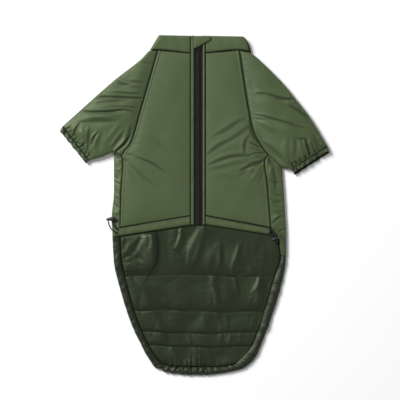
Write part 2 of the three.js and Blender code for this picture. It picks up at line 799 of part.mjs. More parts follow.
// Zip: two tapes, the closed chain, its slider and the folded edges beside it
const tapeBottom = 5.9;
const tapeWidth = 8.2;
const tapeTop = 232;
const tapeLength = tapeTop - zipBottom;
const tapeApart = 0.4;
for (const side of [-1, 1]) {
  const tape = new THREE.BoxGeometry(tapeWidth, tapeLength, tapeThickness);
  const mesh = add(side < 0 ? 'zip_tape_left' : 'zip_tape_right', tape, finishes.zip);
  mesh.position.set(
    zipMiddle + side * (tapeWidth + tapeApart) / 2,
    zipBottom + tapeLength / 2,
    tapeBottom + tapeThickness / 2,
  );
}
const layerGap = 0.3;
const chainBottom = tapeBottom + tapeThickness + layerGap;
const sliderFrom = 218.6;
const chainSection = new THREE.Shape([
  new THREE.Vector2(-2.4, 0),
  new THREE.Vector2(2.4, 0),
  new THREE.Vector2(2.1, 1.1),
  new THREE.Vector2(1.0, 1.5),
  new THREE.Vector2(0, 1.25),
  new THREE.Vector2(-1.0, 1.5),
  new THREE.Vector2(-2.1, 1.1),
]);
const chainLength = sliderFrom - layerGap - zipBottom;
const chain = add('zip_chain', new THREE.ExtrudeGeometry(chainSection, {
  depth: chainLength,
  bevelEnabled: false,
}), finishes.zip);
chain.rotation.x = Math.PI / 2;
chain.position.set(zipMiddle, zipBottom + chainLength, chainBottom);

function roundedShape(width, height, corner) {
  const shape = new THREE.Shape();
  const [x, y] = [width / 2, height / 2];
  shape.absarc(x - corner, y - corner, corner, 0, Math.PI / 2);
  shape.absarc(-x + corner, y - corner, corner, Math.PI / 2, Math.PI);
  shape.absarc(-x + corner, -y + corner, corner, Math.PI, 1.5 * Math.PI);
  shape.absarc(x - corner, -y + corner, corner, 1.5 * Math.PI, 2 * Math.PI);
  return shape;
}
const sliderSize = { width: 9.0, length: 10.0, height: 2.2 };
const slider = add('zip_slider', new THREE.ExtrudeGeometry(
  roundedShape(sliderSize.width, sliderSize.length, 2.0),
  { depth: sliderSize.height, bevelEnabled: false, curveSegments: 3 },
), finishes.plastic);
slider.position.set(zipMiddle, sliderFrom + sliderSize.length / 2, chainBottom);

const welts = [
  { name: 'zip_welt_left', outer: weltLeft, inner: zipLeft },
  { name: 'zip_welt_right', outer: weltRight, inner: zipRight },
];
const weltProfile = [
  { across: 0.0, drop: 1.2 },
  { across: 0.15, drop: 0.3 },
  { across: 0.5, drop: 0.0 },
  { across: 0.85, drop: 0.25 },
  { across: 1.0, drop: 1.1 },
];
const weltBottom = tapeBottom + tapeThickness + layerGap;
for (const welt of welts) {
  const outer = [];
  const inner = [];
  for (const along of shares(2)) {
    const y = collarTop + (zipBottom - collarTop) * along;
    outer.push(weltProfile.map(({ across, drop }) => {
      return new THREE.Vector3(welt.outer + (welt.inner - welt.outer) * across, y, weltHeight - drop);
    }));
    inner.push(outer.at(-1).map((point) => new THREE.Vector3(point.x, point.y, weltBottom)));
  }
  add(welt.name, clothWall(outer, inner), finishes.shell);
}

// Zip guard: folded over the top of the zip
const guardBottom = 9.9;
const guardThickness = 1.3;
const guardBevel = 0.4;
const guardShape = new THREE.Shape();
guardShape.moveTo(-1.0, 236.4);
guardShape.lineTo(21.6, 236.1);
guardShape.quadraticCurveTo(24.0, 233.6, 20.0, 229.9);
guardShape.lineTo(2.4, 220.4);
guardShape.quadraticCurveTo(-0.9, 219.0, -1.2, 221.6);
guardShape.closePath();
const guard = add('zip_guard', new THREE.ExtrudeGeometry(guardShape, {
  depth: guardThickness,
  bevelEnabled: true,
  bevelSize: guardBevel,
  bevelThickness: guardBevel,
  bevelSegments: 2,
  curveSegments: 4,
}), finishes.shell);
guard.position.z = guardBottom;

// Drawcords: one elastic loop out of each end of the front hem, with its lock
const cordRadius = 0.9;
const cordSection = new THREE.Shape(Array.from({ length: 8 }, (_, index) => {
  const angle = index * Math.PI / 4;
  return new THREE.Vector2(cordRadius * Math.cos(angle), cordRadius * Math.sin(angle));
}));
const cords = [
  {
    name: 'cord_left',
    steps: 26,
    route: [
      { x: -108.4, y: -37.6, z: 9.5 },
      { x: -109.0, y: -37.9, z: 10.7 },
      { x: -111.3, y: -36.9, z: 11.0 },
      { x: -114.7, y: -34.3, z: 10.8 },
      { x: -117.4, y: -31.2, z: 10.6 },
      { x: -119.3, y: -27.4, z: 10.8 },
      { x: -120.2, y: -23.6, z: 11.1 },
      { x: -120.3, y: -20.4, z: 11.1 },
      { x: -119.6, y: -18.4, z: 11.1 },
      { x: -117.7, y: -17.5, z: 11.1 },
      { x: -115.8, y: -18.4, z: 11.1 },
      { x: -115.1, y: -20.4, z: 11.1 },
      { x: -114.9, y: -23.6, z: 11.1 },
      { x: -113.4, y: -27.2, z: 10.9 },
      { x: -110.9, y: -30.2, z: 10.8 },
      { x: -108.2, y: -33.0, z: 10.7 },
      { x: -107.2, y: -34.0, z: 9.5 },
    ],
  },
  {
    name: 'cord_right',
    steps: 22,
    route: [
      { x: 103.6, y: -37.4, z: 9.5 },
      { x: 104.2, y: -38.0, z: 10.7 },
      { x: 106.2, y: -39.6, z: 11.0 },
      { x: 108.0, y: -42.0, z: 11.0 },
      { x: 109.2, y: -44.7, z: 11.0 },
      { x: 110.3, y: -47.4, z: 11.0 },
      { x: 111.4, y: -50.0, z: 11.0 },
      { x: 112.8, y: -51.6, z: 11.0 },
      { x: 114.7, y: -51.0, z: 11.0 },
      { x: 115.3, y: -48.8, z: 11.0 },
      { x: 114.3, y: -45.9, z: 11.0 },
      { x: 113.0, y: -42.6, z: 11.0 },
      { x: 111.0, y: -38.6, z: 11.0 },
      { x: 107.6, y: -34.6, z: 11.0 },
      { x: 104.2, y: -33.4, z: 10.7 },
      { x: 103.3, y: -33.4, z: 9.5 },
    ],
  },
];
for (const cord of cords) {
  const points = cord.route.map((place) => new THREE.Vector3(place.x, place.y, place.z));
  add(cord.name, new THREE.ExtrudeGeometry(cordSection, {
    steps: cord.steps,
    bevelEnabled: false,
    extrudePath: new THREE.CatmullRomCurve3(points, false, 'centripetal'),
  }), finishes.cord);
}
const locks = [
  { name: 'lock_left', x: -116.8, y: -16.3, z: 11.1, turn: 0, width: 13.0, slot: 8.4, slotAt: -0.8 },
  { name: 'lock_right', x: 111.4, y: -44.2, z: 11.0, turn: 0.35, width: 9.2, slot: 7.2, slotAt: 0 },
];
const lockHeight = 5.2;
const lockDepth = 4.9;
const slotHeight = 2.5;
for (const lock of locks) {
  const shape = roundedShape(lock.width, lockHeight, 2.2);
  const slot = roundedShape(lock.slot, slotHeight, 1.0);
  const hole = slot.getPoints(3).map((point) => new THREE.Vector2(point.x + lock.slotAt, point.y));
  shape.holes.push(new THREE.Path(hole));
  const body = new THREE.ExtrudeGeometry(shape, { depth: lockDepth, bevelEnabled: false, curveSegments: 3 });
  body.rotateX(Math.PI / 2);
  const mesh = add(lock.name, body, finishes.plastic);
  mesh.position.set(lock.x, lock.y, lock.z);
  mesh.rotation.z = lock.turn;
}

export default coat;
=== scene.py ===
# A dog's padded winter coat, laid flat with its zip side up.
# Places and sizes are in millimetres until a mesh is made: MM turns them into metres.
# +X is the right of the picture, +Y the collar end, +Z up from the surface that the coat lies on.
import math
from collections import namedtuple

import bmesh
import bpy
import numpy as np
from mathutils import Matrix, Vector
from mathutils.bvhtree import BVHTree


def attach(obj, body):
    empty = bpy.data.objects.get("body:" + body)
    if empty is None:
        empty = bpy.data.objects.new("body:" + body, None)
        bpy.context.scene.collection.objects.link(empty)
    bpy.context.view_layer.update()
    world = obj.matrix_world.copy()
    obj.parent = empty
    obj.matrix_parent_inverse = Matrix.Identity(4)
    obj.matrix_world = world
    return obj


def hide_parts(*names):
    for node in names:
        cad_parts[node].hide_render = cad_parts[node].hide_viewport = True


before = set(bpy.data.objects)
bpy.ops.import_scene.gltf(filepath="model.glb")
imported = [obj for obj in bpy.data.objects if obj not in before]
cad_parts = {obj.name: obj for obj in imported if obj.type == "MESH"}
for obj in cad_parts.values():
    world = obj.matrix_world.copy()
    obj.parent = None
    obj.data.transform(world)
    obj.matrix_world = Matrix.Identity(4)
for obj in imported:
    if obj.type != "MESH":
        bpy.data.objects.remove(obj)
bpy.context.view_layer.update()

MM = 0.001
scene = bpy.context.scene

# Heights, as in the solids
SEAM_TOP = 7.7            # the upper layer where it is sewn
FOLD_MIDDLE = 4.0         # a folded edge's outermost line
FOLD_RADIUS = 4.2
HEM_TOP = 9.0
BACK_THICKNESS = 3.5
LINING_ROWS = 4.9         # the lining at its stitched rows
CLOTH = 1.0               # a shell fabric with its wadding's edge

# The zip
ZIP_LEFT = -0.6
ZIP_RIGHT = 11.1
ZIP_MIDDLE = (ZIP_LEFT + ZIP_RIGHT) / 2
ZIP_BOTTOM = -26.6
WELT_LEFT = -5.8
WELT_RIGHT = 14.9
COLLAR_TOP = 237.2


# Camera: straight above the coat, as in the photograph
FRAME_WIDTH = 560.0       # what the picture spans, side to side
FRAME_CENTRE = (7.35, 7.7)
CAMERA_HEIGHT = 3000.0

camera_data = bpy.data.cameras.new("camera")
camera_data.type = "PERSP"
camera_data.sensor_width = 36
camera_data.lens = 36 * CAMERA_HEIGHT / FRAME_WIDTH
camera_data.clip_end = 20
camera = bpy.data.objects.new("camera", camera_data)
camera.location = (FRAME_CENTRE[0] * MM, FRAME_CENTRE[1] * MM, CAMERA_HEIGHT * MM)
scene.collection.objects.link(camera)
scene.camera = camera
scene.view_settings.view_transform = "Standard"


# Light: soft daylight from the upper left, with a weak fill from the right
def area_light(name, place, size, power, aim=(0, 0, 0)):
    data = bpy.data.lights.new(name, "AREA")
    data.shape = "DISK"
    data.size = size
    data.energy = power
    light = bpy.data.objects.new(name, data)
    light.location = place
    light.rotation_euler = (Vector(place) - Vector(aim)).to_track_quat("Z", "Y").to_euler()
    scene.collection.objects.link(light)


area_light("key", (-2.0, 1.6, 2.3), 1.5, 150)
area_light("fill", (2.0, -1.0, 2.6), 1.8, 10)
world = bpy.data.worlds.new("studio")
world.use_nodes = True
world.node_tree.nodes["Background"].inputs["Color"].default_value = (1, 1, 1, 1)
world.node_tree.nodes["Background"].inputs["Strength"].default_value = 0.28
scene.world = world


# Materials
class Finish:
    """A material being put together from nodes."""

    def __init__(self, name, roughness, **sockets):
        self.material = bpy.data.materials.new(name)
        self.material.use_nodes = True
        self.nodes = self.material.node_tree.nodes
        self.shader = self.nodes["Principled BSDF"]
        self.shader.inputs["Roughness"].default_value = roughness
        for socket, value in sockets.items():
            self.shader.inputs[socket.replace("_", " ")].default_value = value
        self.relief = None

    def add(self, kind, settings=None, **inputs):
        node = self.nodes.new(kind)
        for name, value in (settings or {}).items():
            setattr(node, name, value)
        for name, value in inputs.items():
            self.set(node, name.replace("_", " "), value)
        return node

    def set(self, node, socket, value):
        target = node.inputs[socket]
        if isinstance(value, bpy.types.NodeSocket):
            self.material.node_tree.links.new(value, target)
        else:
            target.default_value = value

    def object_place(self, turn=0.0):
        where = self.add("ShaderNodeTexCoord").outputs["Object"]
        turned = (0, 0, math.radians(turn))
        return self.add("ShaderNodeMapping", Vector=where, Rotation=turned).outputs["Vector"]

    def cloth_place(self):
        return self.add("ShaderNodeUVMap").outputs["UV"]

    def noise(self, place, scale, detail=3.0):
        return self.add("ShaderNodeTexNoise", Vector=place, Scale=scale, Detail=detail).outputs["Fac"]

    def ramp(self, value, low, high, to_low=0.0, to_high=1.0):
        node = self.add("ShaderNodeMapRange", Value=value)
        limits = {"From Min": low, "From Max": high, "To Min": to_low, "To Max": to_high}
        for socket, number in limits.items():
            node.inputs[socket].default_value = number
        return node.outputs["Result"]

    def math(self, operation, first, second):
        node = self.add("ShaderNodeMath", {"operation": operation})
        self.set(node, 0, first)
        self.set(node, 1, second)
        return node.outputs["Value"]

    def mixed(self, share, first, second):
        node = self.add("ShaderNodeMix", {"data_type": "RGBA"})
        self.set(node, 0, share)
        self.set(node, 6, first)
        self.set(node, 7, second)
        return node.outputs[2]

    def colour(self, value):
        self.set(self.shader, "Base Color", value)

    def rough(self, value):
        self.set(self.shader, "Roughness", value)

    def bump(self, height, distance, strength=1.0):
        node = self.add("ShaderNodeBump", Height=height)
        node.inputs["Distance"].default_value = distance
        node.inputs["Strength"].default_value = strength
        if self.relief is not None:
            self.set(node, "Normal", self.relief)
        self.relief = node.outputs["Normal"]
        self.set(self.shader, "Normal", self.relief)


THREAD_PITCH = 0.00055    # of the woven cloth


def woven(finish, pitch=THREAD_PITCH, depth=0.00006):
    """Fine crossing threads along the cloth's own directions."""
    turns = 1 / pitch
    place = finish.cloth_place()
    bands = []
    for direction in ("X", "Y"):
        wave = finish.add("ShaderNodeTexWave", {"bands_direction": direction}, Vector=place)
        wave.inputs["Scale"].default_value = turns / 20 * math.pi
        wave.inputs["Distortion"].default_value = 0.6
        bands.append(wave.outputs["Fac"])
    finish.bump(finish.math("MULTIPLY", *bands), depth, 0.5)


def painted_valley_shade(finish, colour, depth):
    """Painted shade: the colour, darker where the attribute called seam marks the shade of seam valleys, fold
    troughs and gathers.
    """
    seam = finish.add("ShaderNodeAttribute", {"attribute_name": "seam"}).outputs["Fac"]
    dark = finish.math("MULTIPLY", seam, depth)
    return finish.mixed(dark, colour, (0.012, 0.018, 0.009, 1))


SHELL_GLOSS = (0.85, 0.97, 0.7, 1)


def shell_cloth(name, light, dark, roughness=0.52):
    """The coat's smooth outer cloth."""
    finish = Finish(name, roughness, Specular_IOR_Level=0.5, Specular_Tint=SHELL_GLOSS)
    patches = finish.noise(finish.object_place(), 9.0, 2.0)
    flecks = finish.noise(finish.object_place(), 260.0, 2.0)
    wide = finish.ramp(patches, 0.3, 0.7, 0.1, 0.75)
    small = finish.ramp(flecks, 0.2, 0.8, 0.0, 0.25)
    base = finish.mixed(finish.math("ADD", wide, small), (*dark, 1), (*light, 1))
    # Painted shade from the seam attribute darkens the colour in valleys and creases.
    finish.colour(painted_valley_shade(finish, base, 0.85))
    sheen = finish.noise(finish.object_place(), 30.0)
    finish.rough(finish.ramp(sheen, 0.3, 0.7, roughness - 0.05, roughness + 0.07))
    finish.bump(finish.noise(finish.object_place(), 160.0, 4.0), 0.0004, 0.2)
    woven(finish)
    return finish.material


LINING_GLOSS = (0.69, 0.87, 0.56, 1)


def lining_cloth(name):
    """The darker, glossier lining."""
    finish = Finish(name, 0.5, Specular_IOR_Level=0.52, Specular_Tint=LINING_GLOSS)
    patches = finish.noise(finish.object_place(), 14.0, 2.0)
    blend = finish.ramp(patches, 0.3, 0.7)
    base = finish.mixed(blend, (0.0076, 0.0108, 0.0050, 1), (0.0100, 0.0142, 0.0067, 1))
    # Painted shade from the seam attribute darkens the colour in valleys and creases.
    finish.colour(painted_valley_shade(finish, base, 0.8))
    finish.rough(finish.ramp(finish.noise(finish.object_place(), 40.0), 0.3, 0.7, 0.45, 0.55))
    finish.bump(finish.noise(finish.object_place(), 90.0, 4.0), 0.0005, 0.2)
    woven(finish, 0.0004, 0.00004)
    return finish.material


def hem_cloth(name, light, dark):
    """Gathered casings: the shell cloth, duller and darker."""
    finish = Finish(name, 0.5, Specular_IOR_Level=0.45, Specular_Tint=SHELL_GLOSS)
    patches = finish.noise(finish.object_place(), 120.0, 3.0)
    base = finish.mixed(finish.ramp(patches, 0.3, 0.7), (*dark, 1), (*light, 1))
    # Painted shade from the seam attribute darkens the colour in valleys and creases.
    finish.colour(painted_valley_shade(finish, base, 0.85))
    finish.bump(finish.noise(finish.object_place(), 420.0, 3.0), 0.0006, 0.5)
    woven(finish)
    return finish.material


def zip_tape_cloth():
    """Close-woven black tape with a herringbone."""
    finish = Finish("zip_tape_cloth", 0.75, Specular_IOR_Level=0.2)
    place = finish.object_place(45)
    bands = finish.add("ShaderNodeTexWave", Vector=place)
    bands.inputs["Scale"].default_value = 280
    bands.inputs["Distortion"].default_value = 1.0
    base = finish.mixed(bands.outputs["Fac"], (0.005, 0.005, 0.006, 1), (0.011, 0.011, 0.013, 1))
    finish.colour(base)
    finish.bump(bands.outputs["Fac"], 0.0002, 0.7)
    return finish.material


def moulded(name, dark, light, roughness, metallic=0.0):
    """Black plastic or painted metal with a fine grain."""
    finish = Finish(name, roughness, Metallic=metallic)
    grains = finish.noise(finish.object_place(), 900.0, 4.0)
    finish.colour(finish.mixed(finish.ramp(grains, 0.35, 0.65), (*dark, 1), (*light, 1)))
    sheen = finish.noise(finish.object_place(), 200.0)
    finish.rough(finish.ramp(sheen, 0.3, 0.7, roughness - 0.06, roughness + 0.1))
    finish.bump(grains, 0.0001, 0.4)
    return finish.material


def cord_braid():
    """Elastic cord: a black braid of fine strands."""
    finish = Finish("cord_braid", 0.62, Specular_IOR_Level=0.35)
    strands = []
    for turn in (40, -40):
        place = finish.object_place(turn)
        wave = finish.add("ShaderNodeTexWave", Vector=place)
        wave.inputs["Scale"].default_value = 420
        strands.append(wave.outputs["Fac"])
    braid = finish.math("MAXIMUM", strands[0], strands[1])
    finish.colour(finish.mixed(braid, (0.003, 0.003, 0.004, 1), (0.011, 0.011, 0.013, 1)))
    finish.bump(braid, 0.00025, 0.8)
    return finish.material


SHELL_LIGHT = (0.056, 0.083, 0.034)
SHELL_DARK = (0.046, 0.069, 0.027)
shell = shell_cloth("shell_cloth", SHELL_LIGHT, SHELL_DARK)
lining = lining_cloth("lining_cloth")
cuff_cloth = hem_cloth("cuff_cloth", (0.044, 0.064, 0.028), (0.028, 0.041, 0.018))
tail_hem_cloth = hem_cloth("tail_hem_cloth", (0.0105, 0.0145, 0.0075), (0.006, 0.0085, 0.0042))
tape_cloth = zip_tape_cloth()
coil_plastic = moulded("coil_plastic", (0.005, 0.005, 0.006), (0.010, 0.010, 0.011), 0.45)
slider_metal = moulded("slider_metal", (0.012, 0.012, 0.013), (0.03, 0.03, 0.032), 0.4, 0.6)
lock_plastic = moulded("lock_plastic", (0.006, 0.006, 0.007), (0.014, 0.014, 0.015), 0.32)
braid = cord_braid()
thread = hem_cloth("seam_thread", (0.034, 0.048, 0.026), (0.022, 0.032, 0.017))


# Lines and patches, in millimetres on the laid-out coat
LINE_SAMPLES = 40


def run_along(path):
    """How far along a path each of its points is."""
    return np.concatenate([[0], np.cumsum(np.linalg.norm(np.diff(path, axis=0), axis=1))])


def smooth_path(path):
    """A path of close points, as a function from a share of its length to a place on it."""
    run = run_along(path)

    def at(where):
        reach = np.clip(where, 0, 1) * run[-1]
        return np.stack([np.interp(reach, run, path[:, i]) for i in range(path.shape[1])], -1)
    at.length = run[-1]
    return at


def smooth_line(places):
    """A smooth line through a few places, as a function from a share of its length to x and y."""
    points = np.array(places, float)
    chain = np.vstack([2 * points[0] - points[1], points, 2 * points[-1] - points[-2]])
    spans = np.sqrt(np.linalg.norm(np.diff(chain, axis=0), axis=1))
    share = np.linspace(0, 1, LINE_SAMPLES, endpoint=False)[:, None]
    path = []
    for i in range(1, len(chain) - 2):
        a, b, c, d = chain[i - 1:i + 3]
        before, here, after = spans[i - 1:i + 2]
        leave = ((b - a) / before - (c - a) / (before + here) + (c - b) / here) * here
        arrive = ((c - b) / here - (d - b) / (here + after) + (d - c) / after) * here
        bend = -3 * b + 3 * c - 2 * leave - arrive
        path.append(b + share * leave + share ** 2 * bend + share ** 3 * (2 * b - 2 * c + leave + arrive))
    return smooth_path(np.vstack(path + [points[-1:]]))


def joined_line(*parts):
    """Lines end to end: each part is a line and how many of the rows it takes."""
    total = sum(rows for line, rows in parts)

    def at(where):
        row = np.asarray(where, float) * total
        result = None
        start = 0
        for line, rows in parts:
            here = line((row - start) / rows)
            result = here if result is None else np.where((row > start)[..., None], here, result)
            start += rows
        return result
    return at


def part_of(line, start, end):
    return lambda where: line(start + (end - start) * np.asarray(where))


def shifted(line, x, y):
    return lambda where: line(where) + np.array([x, y])


def straight(start, end):
    return lambda where: start + (end - start) * np.asarray(where)[..., None]


def cloth_patch(near, far, first=None, last=None):
    """The cloth between four lines: across runs from near to far, along from first to last."""
    ends = [line(np.array(where, float)) for line in (near, far) for where in (0, 1)]
    near_first, near_last, far_first, far_last = ends
    first = first or straight(near_first, far_first)
    last = last or straight(near_last, far_last)

    def at(across, along):
        u = np.asarray(across, float)[..., None]
        v = np.asarray(along, float)[..., None]
        sides = near(along) * (1 - u) + far(along) * u
        ends = first(across) * (1 - v) + last(across) * v
        corners = (near_first * (1 - u) + far_first * u) * (1 - v) + (near_last * (1 - u) + far_last * u) * v
        return sides + ends - corners
    return at


def cloth_width(patch, along):
    """How wide a patch is at each row, from its near line to its far one."""
    return np.linalg.norm(patch(np.ones_like(along), along) - patch(np.zeros_like(along), along), axis=-1)


# A fold follows a line of places. Its sides are as wide as width, it stands up by rise, and the cloth lies
# higher on the left of its direction by lean. start and end are its strength at its two ends, and sharp
# narrows its left side.
Fold = namedtuple("Fold", "line width rise lean start end sharp", defaults=(0.0, 0.25, 0.25, 1.0))
FOLD_PARTS = 10
FULL_DARK = 2.4           # a trough or step this deep, in mm, is in full shade


def folds(rows, wider=1.0):
    made = []
    for line, width, *values in rows:
        smooth = smooth_line(line)
        made.append(Fold(smooth(np.linspace(0, 1, FOLD_PARTS + 1)), width * wider, *values))
    return made


def fold_relief(table, place):
    """The height that the folds add at each place, and the shade painted into the deepest part of each."""
    x, y = place[..., 0], place[..., 1]
    height = np.zeros_like(x)
    dark = np.zeros_like(x)
    for fold in table:
        reach = 3 * fold.width
        low = fold.line.min(0) - reach
        high = fold.line.max(0) + reach
        near = (x > low[0]) & (x < high[0]) & (y > low[1]) & (y < high[1])
        if not near.any():
            continue
        px, py = x[near], y[near]
        best = np.full_like(px, 1e9)
        aside = np.zeros_like(px)
        share = np.zeros_like(px)
        for part, (start, end) in enumerate(zip(fold.line[:-1], fold.line[1:])):
            run = end - start
            length = np.hypot(*run)
            run = run / length
            along = (px - start[0]) * run[0] + (py - start[1]) * run[1]
            across = (py - start[1]) * run[0] - (px - start[0]) * run[1]
            beyond = along - np.clip(along, 0, length)
            distance = np.hypot(across, beyond)
            closer = distance < best
            best = np.where(closer, distance, best)
            aside = np.where(closer, np.where(across < 0, -distance, distance), aside)
            share = np.where(closer, (part + np.clip(along / length, 0, 1)) / FOLD_PARTS, share)
        swing = np.sin(np.pi * share)
        ends = fold.start + (fold.end - fold.start) * share
        taper = ends + (1 - ends) * swing ** 0.7
        width = fold.width * (0.6 + 0.4 * swing)
        away = aside / np.where(aside > 0, width * fold.sharp, width)
        bell = np.exp(-away ** 2) * taper
        height[near] += (fold.rise + fold.lean * away) * bell
        # Painted shade along each fold's low side, deeper for deep troughs and steps and for the steep side
        # of sharp tilts.
        depth = min((abs(fold.lean) + max(-fold.rise, 0)) / FULL_DARK, 1) * min(1.0, 3.0 / fold.width)
        depth = max(depth, 0.45 * (1 - fold.sharp))
        low_side = away + 0.35 * np.sign(fold.lean)
        dark[near] = np.maximum(dark[near], depth * taper * np.exp(-(low_side / 0.6) ** 2))
    return height, dark


def unevenness(seed, count, shortest, longest, size):
    """Soft irregular swells: a sum of waves with random directions, lengths and starts."""
    draw = np.random.default_rng(seed)
    angle = draw.uniform(0, 2 * np.pi, count)
    length = draw.uniform(shortest, longest, count)
    start = draw.uniform(0, 2 * np.pi, count)
    weight = draw.uniform(0.5, 1.0, count)
    waves = np.stack([np.cos(angle), np.sin(angle)]) * 2 * np.pi / length
    weight *= size / math.sqrt(count / 2)

    def at(place):
        return (np.sin(place @ waves + start) * weight).sum(-1)
    return at


def rounded_in(distance, radius):
    """How far a sewn edge falls, in radii: a quarter circle down into the seam."""
    inwards = 1 - np.clip(distance / radius, 0, 1)
    return 1 - np.sqrt(np.clip(1 - inwards ** 2, 0, 1))


def loft(distance, reach):
    """Cloth rises from a seam to its full height over the distance called reach."""
    return 1 - np.exp(-distance / reach)


EDGE_STEPS = (0.0, 0.12, 0.4, 0.9, 1.6)


def spread(length, pitch, ends=(True, True)):
    """Shares of a length at about one pitch, with closer ones at sewn ends."""
    closer = np.array(EDGE_STEPS)
    low = closer if ends[0] else np.array([0.0])
    high = length - closer[::-1] if ends[1] else np.array([length])
    count = max(2, round((high[0] - low[-1]) / pitch))
    middle = np.linspace(low[-1], high[0], count + 1)[1:-1]
    return np.concatenate([low, middle, high]) / length


# Meshes
def finish_piece(name, work, material, replaces=()):
    mesh = bpy.data.meshes.new(name)
    work.to_mesh(mesh)
    work.free()
    mesh.polygons.foreach_set("use_smooth", [True] * len(mesh.polygons))
    mesh.materials.append(material)
    piece = bpy.data.objects.new(name, mesh)
    scene.collection.objects.link(piece)
    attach(piece, "root")
    if replaces:
        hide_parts(*replaces)
    return piece


LAYER_MIDDLE = 2.0        # cloth above this height faces up, and cloth below it faces down


def lay(
    name, surface, columns, rows, material, replaces, ring=False, capped=False, wall=CLOTH,
    inside=None,
):
    """A piece of cloth from a grid. surface turns the columns' and rows' values into x, y, z and the shade
    painted into the colour there; ring joins the last column to the first, capped closes the ends, wall
    thickens it inwards."""
    work = bmesh.new()
    across, along = len(columns) - (0 if ring else 1), len(rows) - 1
    bmesh.ops.create_grid(work, x_segments=across, y_segments=along, size=0.5)
    uv = work.loops.layers.uv.new("cloth")
    # The attribute called seam carries the shade painted into the colour: seam valleys, fold troughs, gathers
    # and quilted rows.
    seam = work.verts.layers.float.new("seam")
    verts = list(work.verts)
    grid = np.array([vert.co[:2] for vert in verts]) + 0.5
    column = np.rint(grid[:, 0] * across).astype(int)
    row = np.rint(grid[:, 1] * along).astype(int)
    round_columns = np.append(columns, columns[0]) if ring else np.asarray(columns)
    surfaced = surface(round_columns[column], np.asarray(rows)[row])
    points = surfaced[:, :3] * MM

    table = np.zeros((across + 1, along + 1, 3))
    table[column, row] = points
    half = (table[across // 2], table[:, along // 2])
    flat_along = run_along(half[0])
    flat_across = run_along(half[1])
    for vert, point, shade, c, r in zip(verts, points, surfaced[:, 3], column, row):
        vert.co = point
        vert[seam] = shade
        for loop in vert.link_loops:
            loop[uv].uv = (flat_across[c], flat_along[r])
    if ring:
        bmesh.ops.remove_doubles(work, verts=work.verts, dist=1e-6)
    if capped:
        rims = [edge for edge in work.edges if edge.is_boundary]
        bmesh.ops.edgeloop_fill(work, edges=rims)
    work.normal_update()
    facing = 0.0
    for face in work.faces:
        facing += face.normal.z * face.calc_area() * (face.calc_center_median().z - LAYER_MIDDLE * MM)
    if facing < 0:
        bmesh.ops.reverse_faces(work, faces=work.faces)
    piece = finish_piece(name, work, material, replaces)
    if wall:
        solid = piece.modifiers.new("wall", "SOLIDIFY")
        solid.thickness = wall * MM
        solid.offset = -1
        solid.use_rim = True
        if inside:
            piece.data.materials.append(inside)
            solid.material_offset = 1
    return piece


# Drawcords: one elastic loop out of each end of the front hem, both of its ends going back into the hem
CORD_RADIUS = 0.9
CORD_POINTS = 90
CORD_LEFT = [
    (-108.4, -37.6, 9.5), (-109.0, -37.9, 10.7), (-111.3, -36.9, 11.0), (-114.7, -34.3, 10.8),
    (-117.4, -31.2, 10.6), (-119.3, -27.4, 10.8), (-120.2, -23.6, 11.1), (-120.3, -20.4, 11.1),
    (-119.6, -18.4, 11.1), (-117.7, -17.5, 11.1), (-115.8, -18.4, 11.1), (-115.1, -20.4, 11.1),
    (-114.9, -23.6, 11.1), (-113.4, -27.2, 10.9), (-110.9, -30.2, 10.8), (-108.2, -33.0, 10.7),
    (-107.2, -34.0, 9.5),
]
CORD_RIGHT = [
    (103.6, -37.4, 9.5), (104.2, -38.0, 10.7), (106.2, -39.6, 11.0), (108.0, -42.0, 11.0),
    (109.2, -44.7, 11.0), (110.3, -47.4, 11.0), (111.4, -50.0, 11.0), (112.8, -51.6, 11.0),
    (114.7, -51.0, 11.0), (115.3, -48.8, 11.0), (114.3, -45.9, 11.0), (113.0, -42.6, 11.0),
    (111.0, -38.6, 11.0), (107.6, -34.6, 11.0), (104.2, -33.4, 10.7), (103.3, -33.4, 9.5),
]


def lathe(work, profile, steps=28):
    """A round piece along X: each row of its profile is a place along it and a radius."""
    rim = [work.verts.new((along * MM, 0, radius * MM)) for along, radius in profile]
    edges = [work.edges.new(pair) for pair in zip(rim, rim[1:])]
    bmesh.ops.spin(
        work, geom=rim + edges, cent=(0, 0, 0), axis=(1, 0, 0), angle=math.tau, steps=steps, use_merge=True,
    )
    bmesh.ops.remove_doubles(work, verts=work.verts, dist=1e-6)


def ribs(first, count, pitch, radius, rise=0.18):
    """Profile rows of raised grip ribs."""
    rows = []
    for index in range(count):
        start = first + index * pitch
        top = radius + rise
        rows += [(start, radius), (start + 0.15, top), (start + 0.45, top), (start + 0.6, radius)]
    return rows


def cord_lock(name, place, turn, profile, node):
    """A spring lock seen from its side: a ribbed barrel and its button, round along their length."""
    work = bmesh.new()
    lathe(work, profile)
    bmesh.ops.rotate(work, verts=work.verts, matrix=Matrix.Rotation(turn, 3, "Z"))
    bmesh.ops.translate(work, verts=work.verts, vec=Vector(place) * MM)
    bmesh.ops.recalc_face_normals(work, faces=work.faces)
    return finish_piece(name, work, lock_plastic, (node,))


def draw_cord(name, route):
    line = smooth_line(route)
    data = bpy.data.curves.new(name, "CURVE")
    data.dimensions = "3D"
    data.bevel_depth = CORD_RADIUS * MM
    data.bevel_resolution = 4
    data.use_fill_caps = True
    spline = data.splines.new("POLY")
    spline.points.add(CORD_POINTS - 1)
    for point, place in zip(spline.points, line(np.linspace(0, 1, CORD_POINTS)) * MM):
        point.co = (*place, 1)
    data.materials.append(braid)
    piece = bpy.data.objects.new(name, data)
    scene.collection.objects.link(piece)
    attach(piece, "root")
    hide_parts(name)


